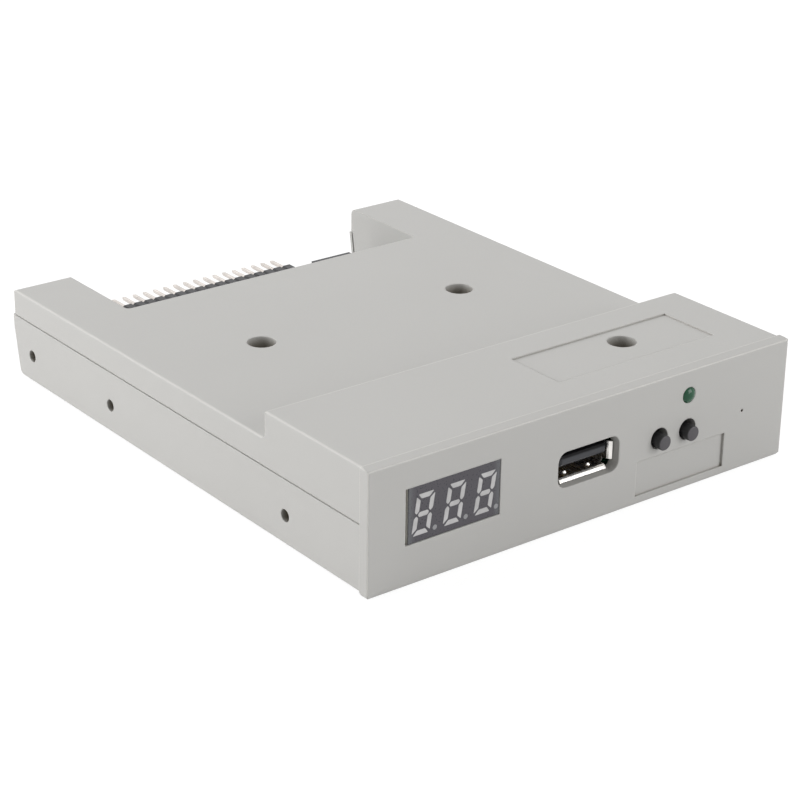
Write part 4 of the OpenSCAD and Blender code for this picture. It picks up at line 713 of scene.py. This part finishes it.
# %% [markdown]
# ## A finish for every node
# The record names one material slot for each node, as a parts list does for a real assembly. A
# loop over that list can't miss a node, while 55 separate lines could. The port's tongue then
# gets its own nylon with the painted shadow.

# %% Give every node its finish
for piece in frame["record"]["subparts"]:
    mesh = nodes[piece["node"]].data
    mesh.materials.clear()
    mesh.materials.append(finishes[piece["material_slot"]])
nodes["port_tongue"].data.materials[0] = tongue
print("finishes:", len(finishes) + 1)

# %% [markdown]
# ## Pins
# The pins are cut from square wire, so their ends are tapered and their bends are round. Each
# starts as one square at its tip. The square is extruded along the pin, and every copy is moved,
# turned and scaled to its place. Boxes with a Bevel modifier would be quicker, but they can't
# taper at one end and bend at the other. The finished pins stand for the CAD's plain ones.

# %% Piece helper
SAME_POINT = 0.0001 * MM
SHARP_FROM = math.radians(30)


def new_piece(name, shape, body, stands_for):
    """Turns a bmesh into a piece that rides on a body and stands for a CAD node."""
    bmesh.ops.remove_doubles(shape, verts=shape.verts, dist=SAME_POINT)
    bmesh.ops.recalc_face_normals(shape, faces=shape.faces)
    mesh = bpy.data.meshes.new(name)
    shape.to_mesh(mesh)
    shape.free()
    mesh.shade_smooth()
    mesh.set_sharp_from_angle(angle=SHARP_FROM)
    piece = bpy.data.objects.new(name, mesh)
    scene.collection.objects.link(piece)
    slot = next(p["material_slot"] for p in frame["record"]["subparts"]
                if p["node"] == stands_for)
    mesh.materials.append(finishes[slot])
    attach(piece, body)
    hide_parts(stands_for)
    print(name, len(mesh.polygons), "faces")
    return piece


# %% Bent pins
BEND_STEPS = 4
TIP_SHARE = 0.5


def bent_pin(shape, x, z, tip_y, foot_y, low_z, width):
    """A square pin from its tip at the rear, round a bend, down to its foot."""
    half = width / 2
    stations = [(tip_y, z, 0, TIP_SHARE), (tip_y - width, z, 0, 1)]
    for step in range(BEND_STEPS + 1):
        angle = RIGHT_ANGLE * step / BEND_STEPS
        stations.append((foot_y + half - half * math.sin(angle),
                         z - half + half * math.cos(angle), angle, 1))
    stations += [(foot_y, low_z + width, RIGHT_ANGLE, 1),
                 (foot_y, low_z, RIGHT_ANGLE, TIP_SHARE)]
    grid = bmesh.ops.create_grid(shape, x_segments=1, y_segments=1, size=half,
                                 matrix=Matrix.Rotation(RIGHT_ANGLE, 4, "X"))
    ring = grid["verts"]
    face = ring[0].link_faces[0]
    last = Matrix.Identity(4)
    for number, (y, height, angle, size) in enumerate(stations):
        if number:
            grown = bmesh.ops.extrude_face_region(shape, geom=[face])["geom"]
            ring = [item for item in grown if isinstance(item, bmesh.types.BMVert)]
            face = next(item for item in grown if isinstance(item, bmesh.types.BMFace))
        here = (Matrix.Translation((x, y, height)) @ Matrix.Rotation(angle, 4, "X")
                @ Matrix.Scale(size, 4))
        bmesh.ops.transform(shape, matrix=here @ last.inverted(), verts=ring)
        last = here


PIN_PITCH = 2.54 * MM
HEADER_WIRE = 0.64 * MM
POWER_WIRE = 0.9 * MM

for node_name, rows, width in (("header_pins", 2, HEADER_WIRE), ("power_pins", 1, POWER_WIRE),
                               ("jumper_pins", 1, HEADER_WIRE)):
    low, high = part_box(node_name)
    columns = round((high.x - low.x - width) / PIN_PITCH) + 1
    shape = bmesh.new()
    for column in range(columns):
        for row in range(rows):
            bent_pin(shape, low.x + width / 2 + column * PIN_PITCH,
                     high.z - width / 2 - row * PIN_PITCH, high.y,
                     low.y + width / 2 + row * PIN_PITCH, low.z, width)
    new_piece("tapered_" + node_name, shape, "drive", node_name)

# %% [markdown]
# ## Plungers and lamp lens
# These are round pieces, so each is half of its outline spun about its axis. Stacked cylinders
# would leave walls inside, while a spun outline is one closed skin. The plunger's front rim is
# then bevelled, because a fingertip feels no sharp edge there. The lens is moulded to fill its
# hole, and its dome is a quarter of an oval that the spin turns into a low round end.

# %% Turned shapes
TURN_STEPS = 48


def turned(outline, middle):
    """Spins an outline of (radius, y) about the line along Y through the middle."""
    shape = bmesh.new()
    line = [shape.verts.new((middle.x + radius, y, middle.z)) for radius, y in outline]
    edges = [shape.edges.new(pair) for pair in zip(line, line[1:])]
    bmesh.ops.spin(shape, geom=line + edges, cent=(middle.x, 0, middle.z), axis=(0, 1, 0),
                   angle=4 * RIGHT_ANGLE, steps=TURN_STEPS, use_merge=True)
    bmesh.ops.remove_doubles(shape, verts=shape.verts, dist=SAME_POINT)
    return shape


# %% Plungers
PLUNGER_RADIUS = 1.5 * MM
PLUNGER_HEAD = 7.26 * MM
COLLAR_THICK = 0.6 * MM
RIM_ROUND = 0.25 * MM
RIM_STEPS = 4
TOUCH = 0.001 * MM

for node_name, body in (("up_plunger", "up_button"), ("down_plunger", "down_button")):
    low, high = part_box(node_name)
    middle = (low + high) / 2
    collar = (high.x - low.x) / 2
    neck = low.y + PLUNGER_HEAD
    shape = turned([(0, low.y), (PLUNGER_RADIUS, low.y), (PLUNGER_RADIUS, neck),
                    (collar, neck), (collar, neck + COLLAR_THICK),
                    (collar / 2, neck + COLLAR_THICK), (collar / 2, high.y), (0, high.y)],
                   middle)
    rim = [edge for edge in shape.edges
           if all(abs(corner.co.y - low.y) < TOUCH
                  and abs((corner.co - middle).xz.length - PLUNGER_RADIUS) < TOUCH
                  for corner in edge.verts)]
    bmesh.ops.bevel(shape, geom=rim, offset=RIM_ROUND, affect="EDGES", segments=RIM_STEPS,
                    profile=0.5, material=-1)
    new_piece("turned_" + node_name, shape, body, node_name)

# %% [markdown]
# ## Snap domes
# Under each plunger lies a thin steel dome that snaps flat when the button is pressed. It is a
# turned shell.

# %% Snap domes
DOME_SHEET = 0.15 * MM
CROWN_RADIUS = 0.92 * MM
RIM_DROP = 0.35 * MM

for node_name, joint in (("up_switch_dome", "up_press"), ("down_switch_dome", "down_press")):
    low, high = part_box(node_name)
    middle = (low + high) / 2
    wide = (high.x - low.x) / 2
    shape = turned([(0, low.y), (CROWN_RADIUS, low.y), (wide, low.y + RIM_DROP), (wide, high.y),
                    (wide - DOME_SHEET, high.y), (CROWN_RADIUS, low.y + DOME_SHEET),
                    (0, low.y + DOME_SHEET)], middle)
    dome = new_piece("snap_" + node_name, shape, "drive", node_name)
    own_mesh(dome)

# %% Lamp lens
LENS_RADIUS = 1.6 * MM
DOME_DEEP = 0.85 * MM
FLANGE_THICK = 1 * MM
DOME_STEPS = 12

low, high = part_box("lamp_lens")
middle = (low + high) / 2
flange = (high.x - low.x) / 2
quarter = [RIGHT_ANGLE * step / DOME_STEPS for step in range(DOME_STEPS + 1)]
shape = turned([(LENS_RADIUS * math.sin(a), low.y + DOME_DEEP * (1 - math.cos(a)))
                for a in quarter]
               + [(LENS_RADIUS, high.y - FLANGE_THICK), (flange, high.y - FLANGE_THICK),
                  (flange, high.y), (0, high.y)], middle)
new_piece("domed_lamp_lens", shape, "drive", "lamp_lens")

# %% [markdown]
# ## Size
# The drive has to keep the CAD model's outer size, since a bay is a fixed hole. Both boxes are
# printed.

low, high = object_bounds()
print("cad and visual box:", [round(v / MM, 1) for v in (*cad_box[1], *high)])
